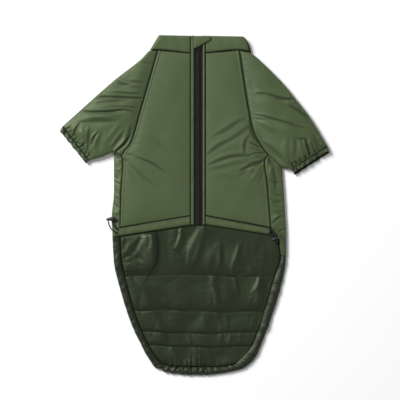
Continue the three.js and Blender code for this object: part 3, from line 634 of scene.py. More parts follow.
LEFT_LOCK = [
    (-7.3, 0.0), (-7.0, 0.6), (-5.6, 1.7), (-4.4, 2.2), (-3.6, 2.25), (-3.3, 1.9), (-3.0, 1.5), (-2.2, 1.5),
    (-1.9, 2.3), (-1.4, 2.75), (-0.4, 2.8), *ribs(0.0, 4, 0.9, 2.8), (4.6, 2.7), (5.4, 2.2), (5.8, 1.2),
    (5.9, 0.0),
]
RIGHT_LOCK = [
    (-4.4, 0.0), (-4.3, 1.0), (-3.9, 1.9), (-3.1, 2.4), (-2.4, 2.5), *ribs(-2.0, 4, 0.9, 2.5), (2.1, 2.3),
    (2.4, 1.8), (2.5, 1.4), (2.8, 1.4), (2.9, 1.8), (3.3, 2.0), (4.0, 1.6), (4.4, 0.8), (4.5, 0.0),
]
lock_left = cord_lock("cord_lock_left", (-116.6, -18.9, 11.1), 0.12, LEFT_LOCK, "lock_left")
lock_right = cord_lock("cord_lock_right", (112.2, -46.4, 11.0), 0.35, RIGHT_LOCK, "lock_right")
draw_cord("cord_left", CORD_LEFT)
draw_cord("cord_right", CORD_RIGHT)


# Seam lines of the laid-out coat, as in the solids
RAGLAN_LEFT = smooth_line([(-51.2, 217.0), (-73.9, 138.3), (-90.2, 85.4), (-97.4, 76.9), (-102.4, 68.3)])
RAGLAN_RIGHT = smooth_line([(62.6, 216.9), (76.0, 131.2), (83.1, 101.1), (93.0, 84.0), (102.4, 71.2)])
SIDE_SEAM_LEFT = smooth_line([(-102.4, 68.3), (-100.7, 62.9), (-103.0, 20.0), (-104.4, -30.8)])
SIDE_SEAM_RIGHT = smooth_line([(102.4, 71.2), (98.0, 61.5), (101.4, 31.1), (106.4, -31.0)])
BESIDE_ROLL_LEFT = smooth_line([(-104.4, -30.8), (-104.1, -45.5), (-102.7, -68.0)])
TAIL_INSIDE_LEFT = smooth_line([
    (-102.7, -68.0), (-101.2, -81.9), (-89.3, -130.9), (-78.8, -163.1), (-58.4, -205.1), (-46.4, -220.0),
])
ROLL_EDGE = smooth_line([(106.4, -31.0), (115.0, -42.7), (120.3, -69.0)])
TAIL_INSIDE_RIGHT = smooth_line([
    (120.3, -69.0), (118.6, -78.0), (109.4, -104.3), (97.0, -146.3), (77.4, -198.1), (55.4, -221.0),
])
TAIL_INSIDE_END = smooth_line([
    (-46.4, -220.0), (-32.0, -223.6), (6.0, -225.0), (40.0, -224.6), (55.4, -221.0),
])
TAIL_OUTSIDE_LEFT = smooth_line([
    (-115.2, -45.0), (-114.5, -62.3), (-111.7, -87.5), (-105.6, -112.7), (-89.7, -163.1), (-69.7, -205.1),
    (-57.2, -225.4),
])
TAIL_OUTSIDE_RIGHT = smooth_line([
    (128.0, -72.2), (125.0, -95.9), (111.0, -146.3), (92.3, -196.7), (84.4, -213.5), (71.0, -226.6),
])
TAIL_OUTSIDE_END = smooth_line([
    (-56.8, -226.2), (-38.3, -233.6), (-6.7, -237.3), (28.4, -236.4), (62.0, -230.2), (70.2, -227.4),
])
QUILT_ROWS = [-26, -98.3, -147.7, -177.9, -197.1, -226]
FRONT_ROWS = {"raglan": 19, "side": 11}
ARMPIT = 70.0

# Folds: their places, width, rise, lean, strength at both ends and sharpness
FRONT_FOLDS = folds([
    ([(76.6, 122), (78.6, 108), (83.4, 96), (91.6, 84)], 2.0, -2.1, 0.6, 0.2, 0.3),
    ([(104, 71), (100, 66), (94, 61)], 2.6, -1.9, 0.8, 1.0, 0.2),
    ([(103, 76), (98, 73.6), (91, 73)], 2.0, -1.3, 0.6, 1.0, 0.2),
    ([(-102, 68), (-97, 64), (-92, 62)], 2.0, -1.0, 0.5, 0.9, 0.2),
    ([(-84, 70), (-70, 64.4), (-60, 60.4), (-50, 53.6), (-39, 45.5)], 2.6, 0.0, 1.7, 0.4, 0.2),
    ([(-88, 66), (-74, 57), (-58, 47)], 4.5, 0.7),
    ([(-93, 62), (-80, 50), (-68, 39), (-52, 26)], 5.0, 0.0, 1.2),
    ([(-96, 50), (-86, 40), (-78, 30)], 4.0, -0.5),
    ([(-46, 101), (-35, 93), (-22, 82)], 3.6, 0.6),
    ([(-60, 96), (-44, 84), (-34, 74)], 6.0, -0.5, 0.3),
    ([(-96, 74), (-90, 71), (-84, 71)], 2.0, -0.7, 0.5),
    ([(-99, 55), (-94, 50), (-91, 42)], 2.0, 0.5),
    ([(-90, 20), (-74, 4), (-60, -4)], 8.0, 0.5),
    ([(-40, 190), (-34, 170), (-34, 150)], 9.0, 0.5),
    ([(76, 89), (84, 85.6), (90, 82.8), (96.5, 80)], 1.9, -0.5, 1.9, 0.2, 0.9),
    ([(77, 84.5), (86, 82), (93, 79)], 1.6, 0.5),
    ([(78, 81), (88, 78.6), (97, 76.5)], 1.7, -0.3, 1.2, 0.2, 0.8),
    ([(75.5, 70.5), (81, 72.8), (88, 74.2), (97, 73)], 2.0, -0.4, 1.5, 0.3, 0.8),
    ([(78, 68.6), (84, 70.4), (90, 70.6)], 1.8, 0.7),
    ([(84, 68), (90, 68.6), (96, 68.5)], 1.8, -0.7, 0.3),
    ([(62, 49), (72, 54), (80, 57.6), (88, 60.8), (95, 62.8), (102, 66.5)], 2.6, -0.7, 2.6, 0.25, 1.0),
    ([(73, 57.5), (80, 60.3), (88, 62.4)], 1.4, -0.5, 1.2, 0.2, 0.8),
    ([(75, 54.2), (81, 56.6), (87, 59.4)], 1.2, 0.6),
    ([(82, 54.6), (88, 57.6), (95, 61)], 1.5, -0.6, 0.9, 0.2, 0.9),
    ([(79, 49.2), (83, 47.6), (88, 45.6)], 1.7, -0.9, 0.4),
    ([(77, 33), (84, 42), (91, 54)], 2.4, 1.0, 0.0, 0.2, 0.6),
    ([(88, 31), (93, 42), (95.5, 54)], 2.2, -0.6, 0.6, 0.2, 0.7),
    ([(74.5, 96.5), (70, 91), (68.6, 82), (69, 72)], 3.6, 0.0, -1.9, 0.5, 0.3),
    ([(18, 57), (30, 62.6), (45, 68.2), (60, 70.8), (77, 70.6)], 3.8, 0.0, 2.0, 0.2, 0.5),
    ([(20, 51), (38, 55), (56, 60), (74, 62)], 4.5, 0.0, 0.9),
    ([(17, 72), (24, 78), (32, 84), (42, 89.4), (55, 94)], 4.6, 0.0, 1.9, 0.3, 0.3),
    ([(26, 98.5), (38, 104), (50, 111.6), (58, 117), (70, 122)], 4.4, 0.0, 1.6),
    ([(46, 92), (56, 97.4), (66, 104.4), (76, 112)], 4.2, 0.0, 1.4, 0.3, 0.6),
    ([(30, 78), (48, 84), (64, 86)], 6.0, 0.6),
    ([(74, 53), (68, 47), (62, 41)], 4.0, -0.7, -0.6),
    ([(24, 40), (44, 42), (58, 36)], 5.5, 0.4, 0.4),
    ([(77.8, 122), (80, 110), (83.6, 98), (89.5, 88)], 3.2, -2.2, 0.0, 0.2, 0.9),
    ([(94, 61), (99, 64), (103, 71)], 3.4, -2.6, 0.0, 0.5, 0.9),
    ([(60, 30), (76, 22), (92, 20)], 6.0, 0.4),
    ([(22, 10), (44, 6), (70, 10)], 8.0, 0.4),
    ([(30, 190), (40, 170), (44, 150)], 9.0, 0.4),
])
SLEEVE_LEFT_FOLDS = folds([
    ([(-111, 177), (-102, 170.5), (-93, 168.4)], 2.2, 0.0, 2.0, 0.7, 0.3),
    ([(-108, 180), (-100, 175), (-92, 171.6)], 1.8, 0.6),
    ([(-94, 168.2), (-84, 165.8), (-72, 166)], 2.4, 0.0, 0.8),
    ([(-92, 175.4), (-81, 173.2), (-70, 171.6)], 2.2, 0.0, 1.5, 0.3, 0.4),
    ([(-118, 158.4), (-104, 158.2), (-92, 156.8), (-76, 156.8)], 2.6, 0.0, 1.6, 0.2, 0.3),
    ([(-141, 152), (-120, 152.2), (-98, 151.5), (-74.5, 150.4)], 2.6, -0.3, 2.7, 0.4, 0.7),
    ([(-141, 142.6), (-125, 145.6), (-110, 147.4), (-92, 148)], 3.6, 0.0, 1.6, 0.2, 0.3),
    ([(-150, 136), (-130, 138.6), (-110, 142)], 5.0, 1.2),
    ([(-113, 138.2), (-99, 138.4), (-80, 136.8)], 2.2, 0.0, 1.5, 0.3, 0.3),
    ([(-162, 133.4), (-147, 131.2), (-131, 131.3), (-115, 132.2), (-101, 134.4), (-91, 133), (-83, 128.6)],
     2.6, -0.2, 2.5, 0.4, 0.3),
    ([(-150, 124.6), (-128, 125.2), (-104, 126)], 3.6, 1.0),
    ([(-162, 117), (-140, 119.6), (-112, 119)], 5.0, 0.0, 2.0),
    ([(-174, 108), (-160, 104), (-154, 96)], 9.0, 1.6),
    ([(-160.5, 114.8), (-165.8, 108.4), (-168.6, 101), (-168, 94.6)], 2.8, -0.6, -2.3, 0.3, 0.8),
    ([(-158, 106), (-157, 96), (-158, 88)], 5.0, 1.3, 0.0, 0.3, 0.8),
    ([(-147, 108), (-148.6, 96), (-149.6, 82)], 4.2, 0.0, -2.0, 0.2, 0.6),
    ([(-136.4, 101.6), (-141.2, 95.4), (-145, 85)], 2.4, -0.5, -2.2, 0.4, 0.4),
    ([(-134, 97), (-138.4, 90), (-139.6, 80)], 2.2, 0.9),
    ([(-141.6, 104.6), (-141.2, 98)], 1.8, -0.7),
    ([(-128, 104), (-132, 92), (-134, 76)], 5.0, -0.9),
    ([(-106, 113), (-115, 101), (-125, 89)], 3.6, 0.7),
    ([(-99, 104), (-108, 92), (-116, 82)], 3.4, 0.0, -1.4),
    ([(-91, 98), (-96.4, 89.4), (-103, 82.4), (-111, 76)], 2.8, -0.6, -2.9, 0.3, 1.0),
    ([(-89.5, 112), (-93, 100), (-99, 88)], 3.5, 0.0, -1.2),
    ([(-73, 204.6), (-66, 200), (-60, 196)], 2.2, 0.0, 1.2, 0.7, 0.3),
    ([(-86, 196), (-78, 189), (-66, 186)], 5.0, 0.5),
    ([(-160, 88), (-153, 84), (-148, 72)], 2.6, 0.8),
    ([(-182.6, 104.8), (-178.4, 106.6), (-173, 109)], 1.8, -1.3, 0.8, 1.0, 0.1),
    ([(-178.4, 99), (-174.6, 102.4), (-171.6, 104.6)], 2.0, -1.7, 0.9, 1.0, 0.1),
    ([(-174.2, 94.4), (-171.4, 97), (-169.4, 100)], 2.4, -1.9, 0.7, 1.0, 0.3),
    ([(-170.8, 89.4), (-167.8, 91.4), (-166.6, 95)], 2.2, -1.8, 1.0, 1.0, 0.3),
    ([(-167, 85.8), (-163.6, 87.4), (-159.6, 86.6)], 1.9, -1.9, 1.2, 1.0, 0.2),
    ([(-162.4, 79.6), (-158, 83), (-154, 86.6), (-151, 86)], 1.9, -1.7, 1.2, 1.0, 0.2),
    ([(-158.4, 75.4), (-155, 78), (-152, 80)], 1.6, -1.0, 0.6, 1.0, 0.1),
    ([(-155.6, 70.8), (-152.4, 74), (-151, 78)], 1.8, -1.4, 0.9, 1.0, 0.1),
    ([(-151.6, 66.4), (-148.6, 69), (-147, 74)], 1.8, -1.3, 0.8, 1.0, 0.1),
    ([(-180.4, 102.8), (-176, 105.4)], 1.6, 0.8, 0.0, 1.0, 0.1),
    ([(-164.8, 82), (-160.4, 84.6)], 1.6, 0.9, 0.0, 1.0, 0.1),
])
SLEEVE_RIGHT_FOLDS = folds([
    ([(84, 157), (98, 156.8), (108, 154.6)], 2.4, 0.0, 1.4, 0.2, 0.8),
    ([(104, 155.4), (112, 153), (120, 150.4), (130, 149.4), (138, 149)], 2.6, -0.4, 2.3, 0.6, 0.9),
    ([(126, 146), (132, 143), (139, 141)], 2.4, 0.7),
    ([(130, 140), (138, 136.8), (146, 132.8), (153, 127.4), (160, 122)], 2.1, -1.4, 0.9, 0.2, 0.9),
    ([(141, 129), (149, 124), (158, 116)], 2.6, 0.7),
    ([(84.6, 126.8), (94, 125.8), (106, 122.6), (120, 118.8), (131, 115.6), (141, 111.8), (156, 108.2)],
     2.3, 0.0, 1.9, 0.4, 0.3),
    ([(83, 122.6), (92, 121), (101, 119.2)], 2.0, 0.0, 1.0),
    ([(88, 117), (99, 112), (110, 103)], 5.0, 0.9, 0.6),
    ([(104, 112), (124, 106), (146, 98)], 8.0, 1.2),
    ([(141, 94), (150, 93.8), (158, 92)], 2.4, 0.0, 1.3),
    ([(153.8, 92), (156, 84), (158.4, 77), (160.4, 70.6)], 2.3, -0.9, -2.6, 0.6, 1.0),
    ([(159.4, 92), (162, 84), (165.6, 75)], 2.0, 1.2, 0.0, 0.3, 0.8),
    ([(166, 95), (170, 87), (175, 79)], 4.0, -1.0, -0.6),
    ([(172, 99), (177, 91), (181, 82)], 3.0, 0.8),
    ([(145, 90), (149, 80), (151, 68)], 4.6, 1.0, 0.0, 0.2, 0.8),
    ([(138, 96), (139.6, 84), (138, 68)], 4.0, 0.0, -1.1),
    ([(128, 94), (126, 80), (130, 62)], 5.0, 0.8),
    ([(98, 88), (106, 82), (116, 74), (126, 62)], 5.5, 0.0, 1.6, 0.4, 0.4),
    ([(132, 62), (134, 58), (139, 60)], 2.0, -0.7),
    ([(78, 174), (80, 166), (84, 158)], 4.5, -0.5),
    ([(88, 184), (98, 176), (104, 166)], 6.0, 0.4),
    ([(84, 146), (104, 142), (124, 136)], 8.0, 0.8),
    ([(80.5, 118), (84, 108), (92, 95)], 2.4, 0.7),
    ([(183, 80), (178, 81.4), (174, 84)], 1.9, -1.2, -0.8, 1.0, 0.1),
    ([(178, 76.6), (173.4, 78.4), (171, 82)], 2.0, -1.6, -0.9, 1.0, 0.1),
    ([(172.6, 73.6), (169.4, 75.4), (167.6, 79)], 2.1, -1.5, -0.8, 1.0, 0.2),
    ([(163.6, 67.8), (161.4, 70.8), (160.2, 74)], 2.3, -1.9, -1.0, 1.0, 0.5),
    ([(158, 64.6), (156, 67.4), (152.6, 68.4)], 2.2, -1.9, -1.0, 1.0, 0.2),
    ([(151.6, 60.6), (149, 62.6), (146.4, 66)], 1.8, -1.1, -0.7, 1.0, 0.1),
    ([(146.4, 57.2), (142.4, 59.4), (139.4, 62.6)], 1.9, -1.4, -0.8, 1.0, 0.1),
    ([(141, 54), (137.6, 56), (136, 60)], 1.9, -1.5, -0.8, 1.0, 0.1),
    ([(167.8, 70.6), (165.4, 74)], 1.6, 0.9, 0.0, 1.0, 0.1),
    ([(155, 62.8), (152, 65.4)], 1.6, 0.8, 0.0, 1.0, 0.1),
])
SIDE_FOLDS = folds([
    ([(-104.6, 63), (-101.6, 58.6), (-99.6, 53)], 1.7, -0.9, -0.8, 0.6, 0.6),
    ([(-111, 52), (-107, 50), (-102, 52)], 2.0, 0.7),
    ([(-112, 45), (-109.6, 40), (-106, 36)], 1.9, -0.6, 0.9),
    ([(-112, 34.6), (-108, 32.6), (-102, 29.6)], 1.8, -0.6, 1.3, 0.4, 0.8),
    ([(-110, 26), (-106, 20), (-103, 17)], 2.0, 0.6, 0.5),
    ([(-112, 14), (-107, 11), (-103, 9)], 2.0, 0.5, 0.9),
    ([(-113, 5), (-108, -1), (-104, -3)], 1.8, -0.5, 0.9),
    ([(-113, -8), (-109, -10), (-105, -8)], 2.0, 0.7),
    ([(-115, -17), (-110, -20), (-105, -25)], 2.0, -0.7, 0.6),
    ([(103, 58), (106, 50), (105, 40)], 1.8, 0.6),
    ([(101.6, 60), (102.6, 40), (104.4, 20), (106, 0)], 1.5, 0.6, 0.0, 0.6, 0.6),
    ([(110, 61), (109, 48), (112, 34), (111, 22)], 3.4, 0.0, -1.5, 0.4, 0.3),
    ([(107, 36), (113, 32), (122, 33)], 2.4, -0.8, 0.8),
    ([(106, 22), (114, 16), (124, 15)], 3.0, 0.5, 0.9),
    ([(105, 10), (113, 6), (124, 8)], 3.0, -0.5, 0.8),
    ([(106, -3), (114, -8), (124, -7)], 3.0, 0.5, 0.8),
    ([(107, -17.4), (112, -16.4), (117, -13)], 1.7, 0.7),
    ([(108, -24), (113, -20), (118, -16), (123, -14)], 1.9, -0.6, 1.5, 0.6, 0.4),
    ([(108.6, -29.6), (112, -31.6), (116, -35)], 1.7, -0.6, 1.2, 0.6, 0.4),
    ([(109, -34.6), (113, -36.6), (117, -40)], 1.7, 0.8),
    ([(115.6, -38), (119, -34.6), (126, -32.4)], 1.9, -0.6, 1.5, 0.3, 0.7),
    ([(119, -39), (123, -43.6), (128, -50)], 2.0, -0.5, 1.5, 0.3, 0.8),
    ([(117, -46), (121, -54), (125, -64)], 2.2, 0.8, 0.7),
    ([(-112.4, 71.4), (-108.6, 68.8), (-104.6, 66.6)], 1.7, -2.2, 0.8, 1.0, 0.7),
    ([(103.4, 68.6), (105.6, 63), (110.4, 57)], 2.3, -2.0, 0.9, 1.0, 0.2),
])
LINING_FOLDS = folds(wider=1.25, rows=[
    ([(-102.6, -71), (-96, -62.5), (-88, -54), (-79, -45)], 3.9, 1.7, 0.0, 0.8, 0.4),
    ([(-98, -73), (-89, -69), (-82, -60), (-76, -47)], 3.0, -1.3, 0.6, 0.8, 0.4),
    ([(-94, -75.4), (-84, -69), (-75, -58), (-69, -48), (-66.6, -40)], 4.2, 1.2, 0.8, 0.6, 0.4),
    ([(-66.6, -61), (-64, -54), (-64.6, -42)], 2.0, -1.0, 0.5),
    ([(-61, -38), (-58, -46), (-57, -62), (-57, -78), (-60, -88)], 3.0, 0.5, -1.5, 0.4, 0.4),
    ([(-56, -38), (-55, -58), (-56, -78), (-64, -89), (-88, -91)], 13.0, 0.8, -6.8, 0.4, 0.3),
    ([(-102, -60), (-101.4, -52), (-99, -44)], 2.5, 0.9, 0.6),
    ([(-96, -46), (-96.6, -56), (-99, -64)], 2.0, -0.9),
    ([(-101, -73.6), (-97, -77), (-90, -80)], 1.7, -1.0, 0.8, 0.9, 0.2),
    ([(-80, -81.4), (-75, -83.2), (-67, -85)], 1.8, -0.7, 0.6),
    ([(-90, -93), (-86, -99), (-82, -104)], 2.0, -0.8, 0.5),
    ([(-97, -86), (-94, -98), (-88, -112), (-82, -130), (-79, -146)], 5.6, 1.1, -0.9, 0.5, 0.4),
    ([(-76, -128), (-77, -136), (-76, -143)], 1.8, -1.0),
    ([(-70, -122), (-66, -132), (-60, -140)], 5.0, 0.7),
    ([(-41, -128), (-39.4, -136), (-34, -143)], 3.9, 0.8, -0.4),
    ([(-23.6, -32), (-24.6, -42), (-27, -52)], 1.6, -1.1, -1.2, 0.8, 0.4),
    ([(-18.6, -32), (-19, -42), (-21.6, -52), (-26, -60)], 3.9, 1.5, -0.9, 0.8, 0.4),
    ([(-29, -34), (-29.6, -44), (-33, -56)], 3.9, 0.9, -0.6, 0.8, 0.2),
    ([(-26, -60), (-20.6, -69), (-16, -79), (-13, -89)], 2.8, 1.1, -0.9, 0.7, 0.2),
    ([(6, -38), (1, -49), (-4, -60), (-8, -71), (-8.4, -87)], 4.5, 1.5, -1.5, 0.5, 0.2),
    ([(-11, -60), (-11.4, -72), (-13, -84)], 1.8, -0.9, 0.4),
    ([(12, -46), (13, -66), (10, -84)], 4.0, -0.7),
    ([(-44, -44), (-46, -70), (-42, -94)], 7.0, -0.9),
    ([(30, -58), (24, -74), (21.6, -90), (26, -106)], 5.5, 1.3, -0.8, 0.3, 0.5),
    ([(34, -60), (37, -72), (36, -88)], 3.6, 0.8, -1.4, 0.2, 0.3),
    ([(22.6, -104), (25.8, -118), (28.8, -132), (30, -144)], 2.5, 1.2, 0.8, 0.6, 0.4),
    ([(31, -149), (34, -160), (37.6, -170), (37, -180), (36, -194)], 3.3, 1.1, -0.5, 0.5, 0.2),
    ([(20, -116), (22, -128), (22, -140)], 2.4, 0.6),
    ([(62, -56), (60, -68), (56, -80), (53.4, -88), (53, -97)], 2.8, 1.4, -1.1, 0.3, 0.8),
    ([(57, -101), (59, -111), (61, -124)], 2.5, 1.0, -0.9, 0.7, 0.2),
    ([(66, -56), (64, -72), (60, -90)], 3.0, -0.6),
    ([(78, -84), (80, -92), (83.4, -104)], 3.9, 0.9, -0.8),
    ([(91.6, -98), (87, -110), (81.6, -120), (77, -130)], 3.0, 1.2, 1.0, 0.7, 0.3),
    ([(90, -103), (90.6, -120), (89.6, -140)], 3.8, 1.2, -1.2, 0.6, 0.4),
    ([(84.6, -50), (84, -57), (85, -66)], 3.6, 0.6),
    ([(97.6, -56), (97, -68), (99, -80)], 3.8, 0.6, -0.6),
    ([(76, -128), (82, -124), (84, -119)], 1.6, -0.8),
    ([(-8.6, -180), (-6, -190), (-3, -197), (4, -208), (14, -220)], 3.3, 0.9, -0.6),
    ([(50.6, -180), (49.6, -190), (48, -198)], 2.8, 0.9, -0.9),
    ([(64, -177), (64, -184), (62, -192)], 2.7, 0.7),
    ([(88, -152), (84, -162), (80, -172)], 3.8, 0.8, -0.6),
    ([(-70, -150), (-64, -168), (-58, -184)], 5.8, 1.0, -0.8),
    ([(-52, -160), (-56, -172), (-60, -184)], 2.0, -0.7, 0.4),
    ([(-56, -196), (-46, -208), (-38, -220)], 5.8, 1.2, -0.9, 0.5, 0.6),
    ([(-34, -192), (-26, -198), (-14, -200)], 3.9, 0.7),
    ([(0, -198), (6, -206), (8, -216)], 4.2, 0.8, -0.5),
    ([(18, -200), (22, -210), (30, -219)], 3.3, 0.7, -0.6),
    ([(14, -150), (16, -162), (14, -174)], 5.0, 0.6, -0.5),
    ([(-16, -120), (-10, -130), (-14, -142)], 6.2, 0.5),
    ([(44, -106), (46, -124), (44, -142)], 7.5, 0.5),
    ([(36, -204), (44, -212), (56, -216)], 4.0, -0.7),
])
# Broad tilts of the loose lining that catch the light, each steep on its right
LINING_SHEENS = folds([
    ([(-57, -34), (-55, -58), (-56, -78), (-62, -92)], 24.0, 3.6, -0.1, 0.6, 0.4, 0.2),
    ([(-15, -30), (-18, -48), (-25, -64)], 9.0, 1.3, -0.1, 0.6, 0.2, 0.35),
    ([(13, -36), (5, -60), (-3, -86)], 14.0, 2.1, -0.1, 0.5, 0.2, 0.35),
    ([(36, -52), (35, -76), (30, -104)], 13.0, 1.9, -0.1, 0.3, 0.4, 0.3),
    ([(28, -102), (32, -124), (34, -147)], 10.0, 1.2, -0.1, 0.5, 0.5, 0.3),
    ([(65, -54), (60, -76), (56, -98), (60, -120)], 8.0, 1.0, -0.1, 0.3, 0.3, 0.35),
    ([(94, -96), (94, -120), (91, -144)], 13.0, 1.7, -0.1, 0.4, 0.3, 0.3),
    ([(-78, -96), (-72, -122), (-64, -146)], 18.0, 1.9, -0.1, 0.4, 0.4, 0.6),
    ([(-58, -150), (-50, -170), (-42, -192)], 15.0, 1.8, -0.1, 0.4, 0.3, 0.5),
    ([(-34, -198), (-26, -210), (-22, -222)], 12.0, 1.6, -0.1, 0.4, 0.8, 0.4),
    ([(42, -150), (45, -164), (44, -178)], 8.0, 0.8, -0.1, 0.3, 0.3, 0.4),
])


# Panels: one layer of cloth, rounded down into the seam at each sewn edge
SEAM_RADIUS = 1.7
SEAM_TUCK = 1.2           # cloth that goes straight down into the seam
SEAM_SHADE = 0.9          # how far from it the seam is in its own shade
IN_SEAM = 0.06            # cloth this close to a seam's line is in it


def sewn_edges(distances, radius=SEAM_RADIUS):
    """How far cloth falls at the nearest seam, in mm, and its shade there."""
    fall = np.zeros_like(distances[0])
    shade = np.exp(-(np.minimum.reduce(distances) / SEAM_SHADE) ** 2)
    for distance in distances:
        fall = np.maximum(fall, rounded_in(distance, radius) * radius)
        fall = np.maximum(fall, np.where(distance < IN_SEAM, radius + SEAM_TUCK, 0.0))
    return fall, np.maximum(shade, np.clip(fall / radius, 0, 1) ** 1.5)


def pucker(distance, run, pitch, size, reach=7.0, seed=0.0):
    """Small uneven gathers beside a row of stitches."""
    wave = np.sin(run / pitch * 2 * np.pi + seed + 1.3 * np.sin(run / (pitch * 2.7) + seed))
    return size * wave * np.exp(-distance / reach) * (1 - np.exp(-distance / 1.2))


front_swell = unevenness(11, 9, 24, 80, 0.16)
SEAM_RIDGE = 2.6          # from a seam to the crest of the bulk that is sewn under beside it


def zip_side_line(x, top, bottom):
    upper = smooth_line([(x, top), (x, ARMPIT)])
    lower = smooth_line([(x, ARMPIT), (x, bottom)])
    return joined_line((upper, FRONT_ROWS["raglan"]), (lower, FRONT_ROWS["side"]))


FRONT_LENGTH = 240.0
FRONT_WIDTH = 92.0
FRONT_TILT = 1.2          # how much higher a front lies beside the sleeve's seam than beside the zip


def front_panel(name, outside, zip_side, node):
    patch = cloth_patch(outside, zip_side)

    def surface(across, along):
        place = patch(across, along)
        width = cloth_width(patch, along)
        edges = [across * width, (1 - across) * width, along * FRONT_LENGTH, (1 - along) * FRONT_LENGTH]
        rise = np.prod([loft(edge, 9.0) for edge in edges], axis=0)
        fall, shade = sewn_edges(edges)
        near_edge = np.prod([loft(edge, 3.0) for edge in edges], axis=0)
        relief, dark = fold_relief(FRONT_FOLDS, place)
        tilt = FRONT_TILT * np.clip(edges[1] / 70, 0, 1)
        height = SEAM_TOP + rise * (1.4 + tilt) + near_edge * (0.62 * relief + front_swell(place))
        height += 0.6 * np.exp(-((edges[0] - SEAM_RIDGE) / 1.1) ** 2)
        height += pucker(edges[0], along * FRONT_LENGTH, 9.5, 0.1)
        height += pucker(edges[3], place[..., 0], 7.5, 0.1)
        # Painted shade: seam valleys and fold troughs darkened, more strongly on the fronts, and less along
        # the collar seam.
        dark = np.clip(1.35 * dark, 0, 1)
        shade = shade * (1 - 0.4 * np.exp(-(edges[2] / 1.5) ** 2))
        return np.column_stack([place, np.maximum(height, SEAM_TOP - 0.3) - fall, np.maximum(shade, dark)])

    piece = lay(name, surface, spread(FRONT_WIDTH, 1.15), spread(FRONT_LENGTH, 1.25), shell, (node,))
    return piece


front_left = front_panel(
    "front_left_shell",
    joined_line((RAGLAN_LEFT, FRONT_ROWS["raglan"]), (SIDE_SEAM_LEFT, FRONT_ROWS["side"])),
    zip_side_line(WELT_LEFT - 0.2, 212.6, -14.2), "front_left",
)
front_right = front_panel(
    "front_right_shell",
    joined_line((RAGLAN_RIGHT, FRONT_ROWS["raglan"]), (SIDE_SEAM_RIGHT, FRONT_ROWS["side"])),
    zip_side_line(WELT_RIGHT + 0.2, 212.8, -13.9), "front_right",
)


# Folded cloth: tubes folded at both edges, or strips folded at their far edge
Section = namedtuple("Section", "distance share edge upper turned")


def folded_section(flat_count, under_count, both, turns=7, under=1.0, radius=FOLD_RADIUS):
    """Columns round folded cloth: the distance each keeps from its edge, its share of the flat width, how far
    the fold has opened there and whether it is on the upper side. turned is the width that the folds take."""
    opening = np.linspace(0, np.pi / 2, turns + 1)
    distance = radius * (1 - np.cos(opening))
    edge = np.sin(opening)
    turned = radius * (2 if both else 1)
    near = radius if both else 0.0
    far = turned - distance
    rows = []
    if both:
        rows += [(d, 0.0, e, 1) for d, e in zip(distance, edge)]
        flat = np.linspace(0, 1, flat_count + 1)[1:-1]
    else:
        closer = np.array(EDGE_STEPS) / 60
        flat = np.concatenate([closer, np.linspace(closer[-1], 1, flat_count + 1)[1:-1]])
    rows += [(near, share, 1.0, 1) for share in flat]
    rows += [(d, 1.0, e, 1) for d, e in zip(far[::-1], edge[::-1])]
    rows += [(d, 1.0, e, 0) for d, e in zip(far[1:], edge[1:])]
    rows += [(near, 1 - share * under, 1.0, 0) for share in np.linspace(0, 1, under_count + 1)[1:]]
    if both:
        rows += [(d, 0.0, e, 0) for d, e in zip(distance[::-1][1:-1], edge[::-1][1:-1])]
    return Section(*np.array(rows, float).T, turned)


def folded_place(patch, section, column, along):
    """Where a column of a folded section lies, the cloth's width there and its share across."""
    index = column.astype(int)
    width = cloth_width(patch, along)
    across = (section.distance[index] + section.share[index] * (width - section.turned)) / width
    return patch(across, along), width, across, section.edge[index], section.upper[index] > 0.5


# Sleeves
CUFF_SEAM_LEFT = smooth_line([(-184.9, 110.5), (-147.4, 62.8)])
CUFF_SEAM_RIGHT = smooth_line([(185.8, 82.4), (135.6, 50.5)])
SLEEVE_LENGTH = 90.0
CUFF_RUFFLES = 14
CROWN = 5.5               # how much higher a sleeve is in its middle


def sleeve(name, raglan, shoulder, underarm, cuff_seam, table, node, seed):
    patch = cloth_patch(smooth_line(shoulder), smooth_line(underarm), raglan, cuff_seam)
    section = folded_section(110, 44, both=True)
    swell = unevenness(seed, 9, 20, 60, 0.25)
    crumple = unevenness(seed + 1, 10, 5, 11, 0.3)

    def surface(column, along):
        place, width, across, edge, upper = folded_place(patch, section, column, along)
        ends = [along * SLEEVE_LENGTH, (1 - along) * SLEEVE_LENGTH]
        rise = loft(ends[0], 4.0) * loft(ends[1], 7.0)
        near = loft(ends[0], 2.5) * loft(ends[1], 2.0)
        fall, shade = sewn_edges(ends)
        gathers = np.sin(2 * np.pi * CUFF_RUFFLES * across + 0.8 * np.sin(9 * across))
        relief, dark = fold_relief(table, place)
        shoulder_side = np.exp(-(across * width / 7.0) ** 2)
        crown = CROWN * np.sin(np.pi * np.clip(across, 0, 1)) ** 0.8
        crown = crown * loft(ends[0], 26.0) * loft(ends[1], 14.0)
        creases = 1.25 * relief + swell(place) + crumple(place) * shoulder_side
        height = SEAM_TOP + rise * 1.9 + crown + near * creases
        height += 0.4 * gathers * np.exp(-ends[1] / 5.0)
        height += pucker(ends[0], across * width, 8.0, 0.12, seed=seed)
        height = np.maximum(height, SEAM_TOP - 0.4) - fall
        under = 0.25 * fall
        z = FOLD_MIDDLE + (np.where(upper, height, under) - FOLD_MIDDLE) * edge
        # The fourth column is painted shade: seam valleys and, on the upper layer, fold troughs.
        return np.column_stack([place, np.maximum(z, 0), np.maximum(shade, dark * upper)])

    piece = lay(
        name, surface, np.arange(len(section.edge)), spread(SLEEVE_LENGTH, 1.0), shell, (node,),
        ring=True,
    )
    return piece


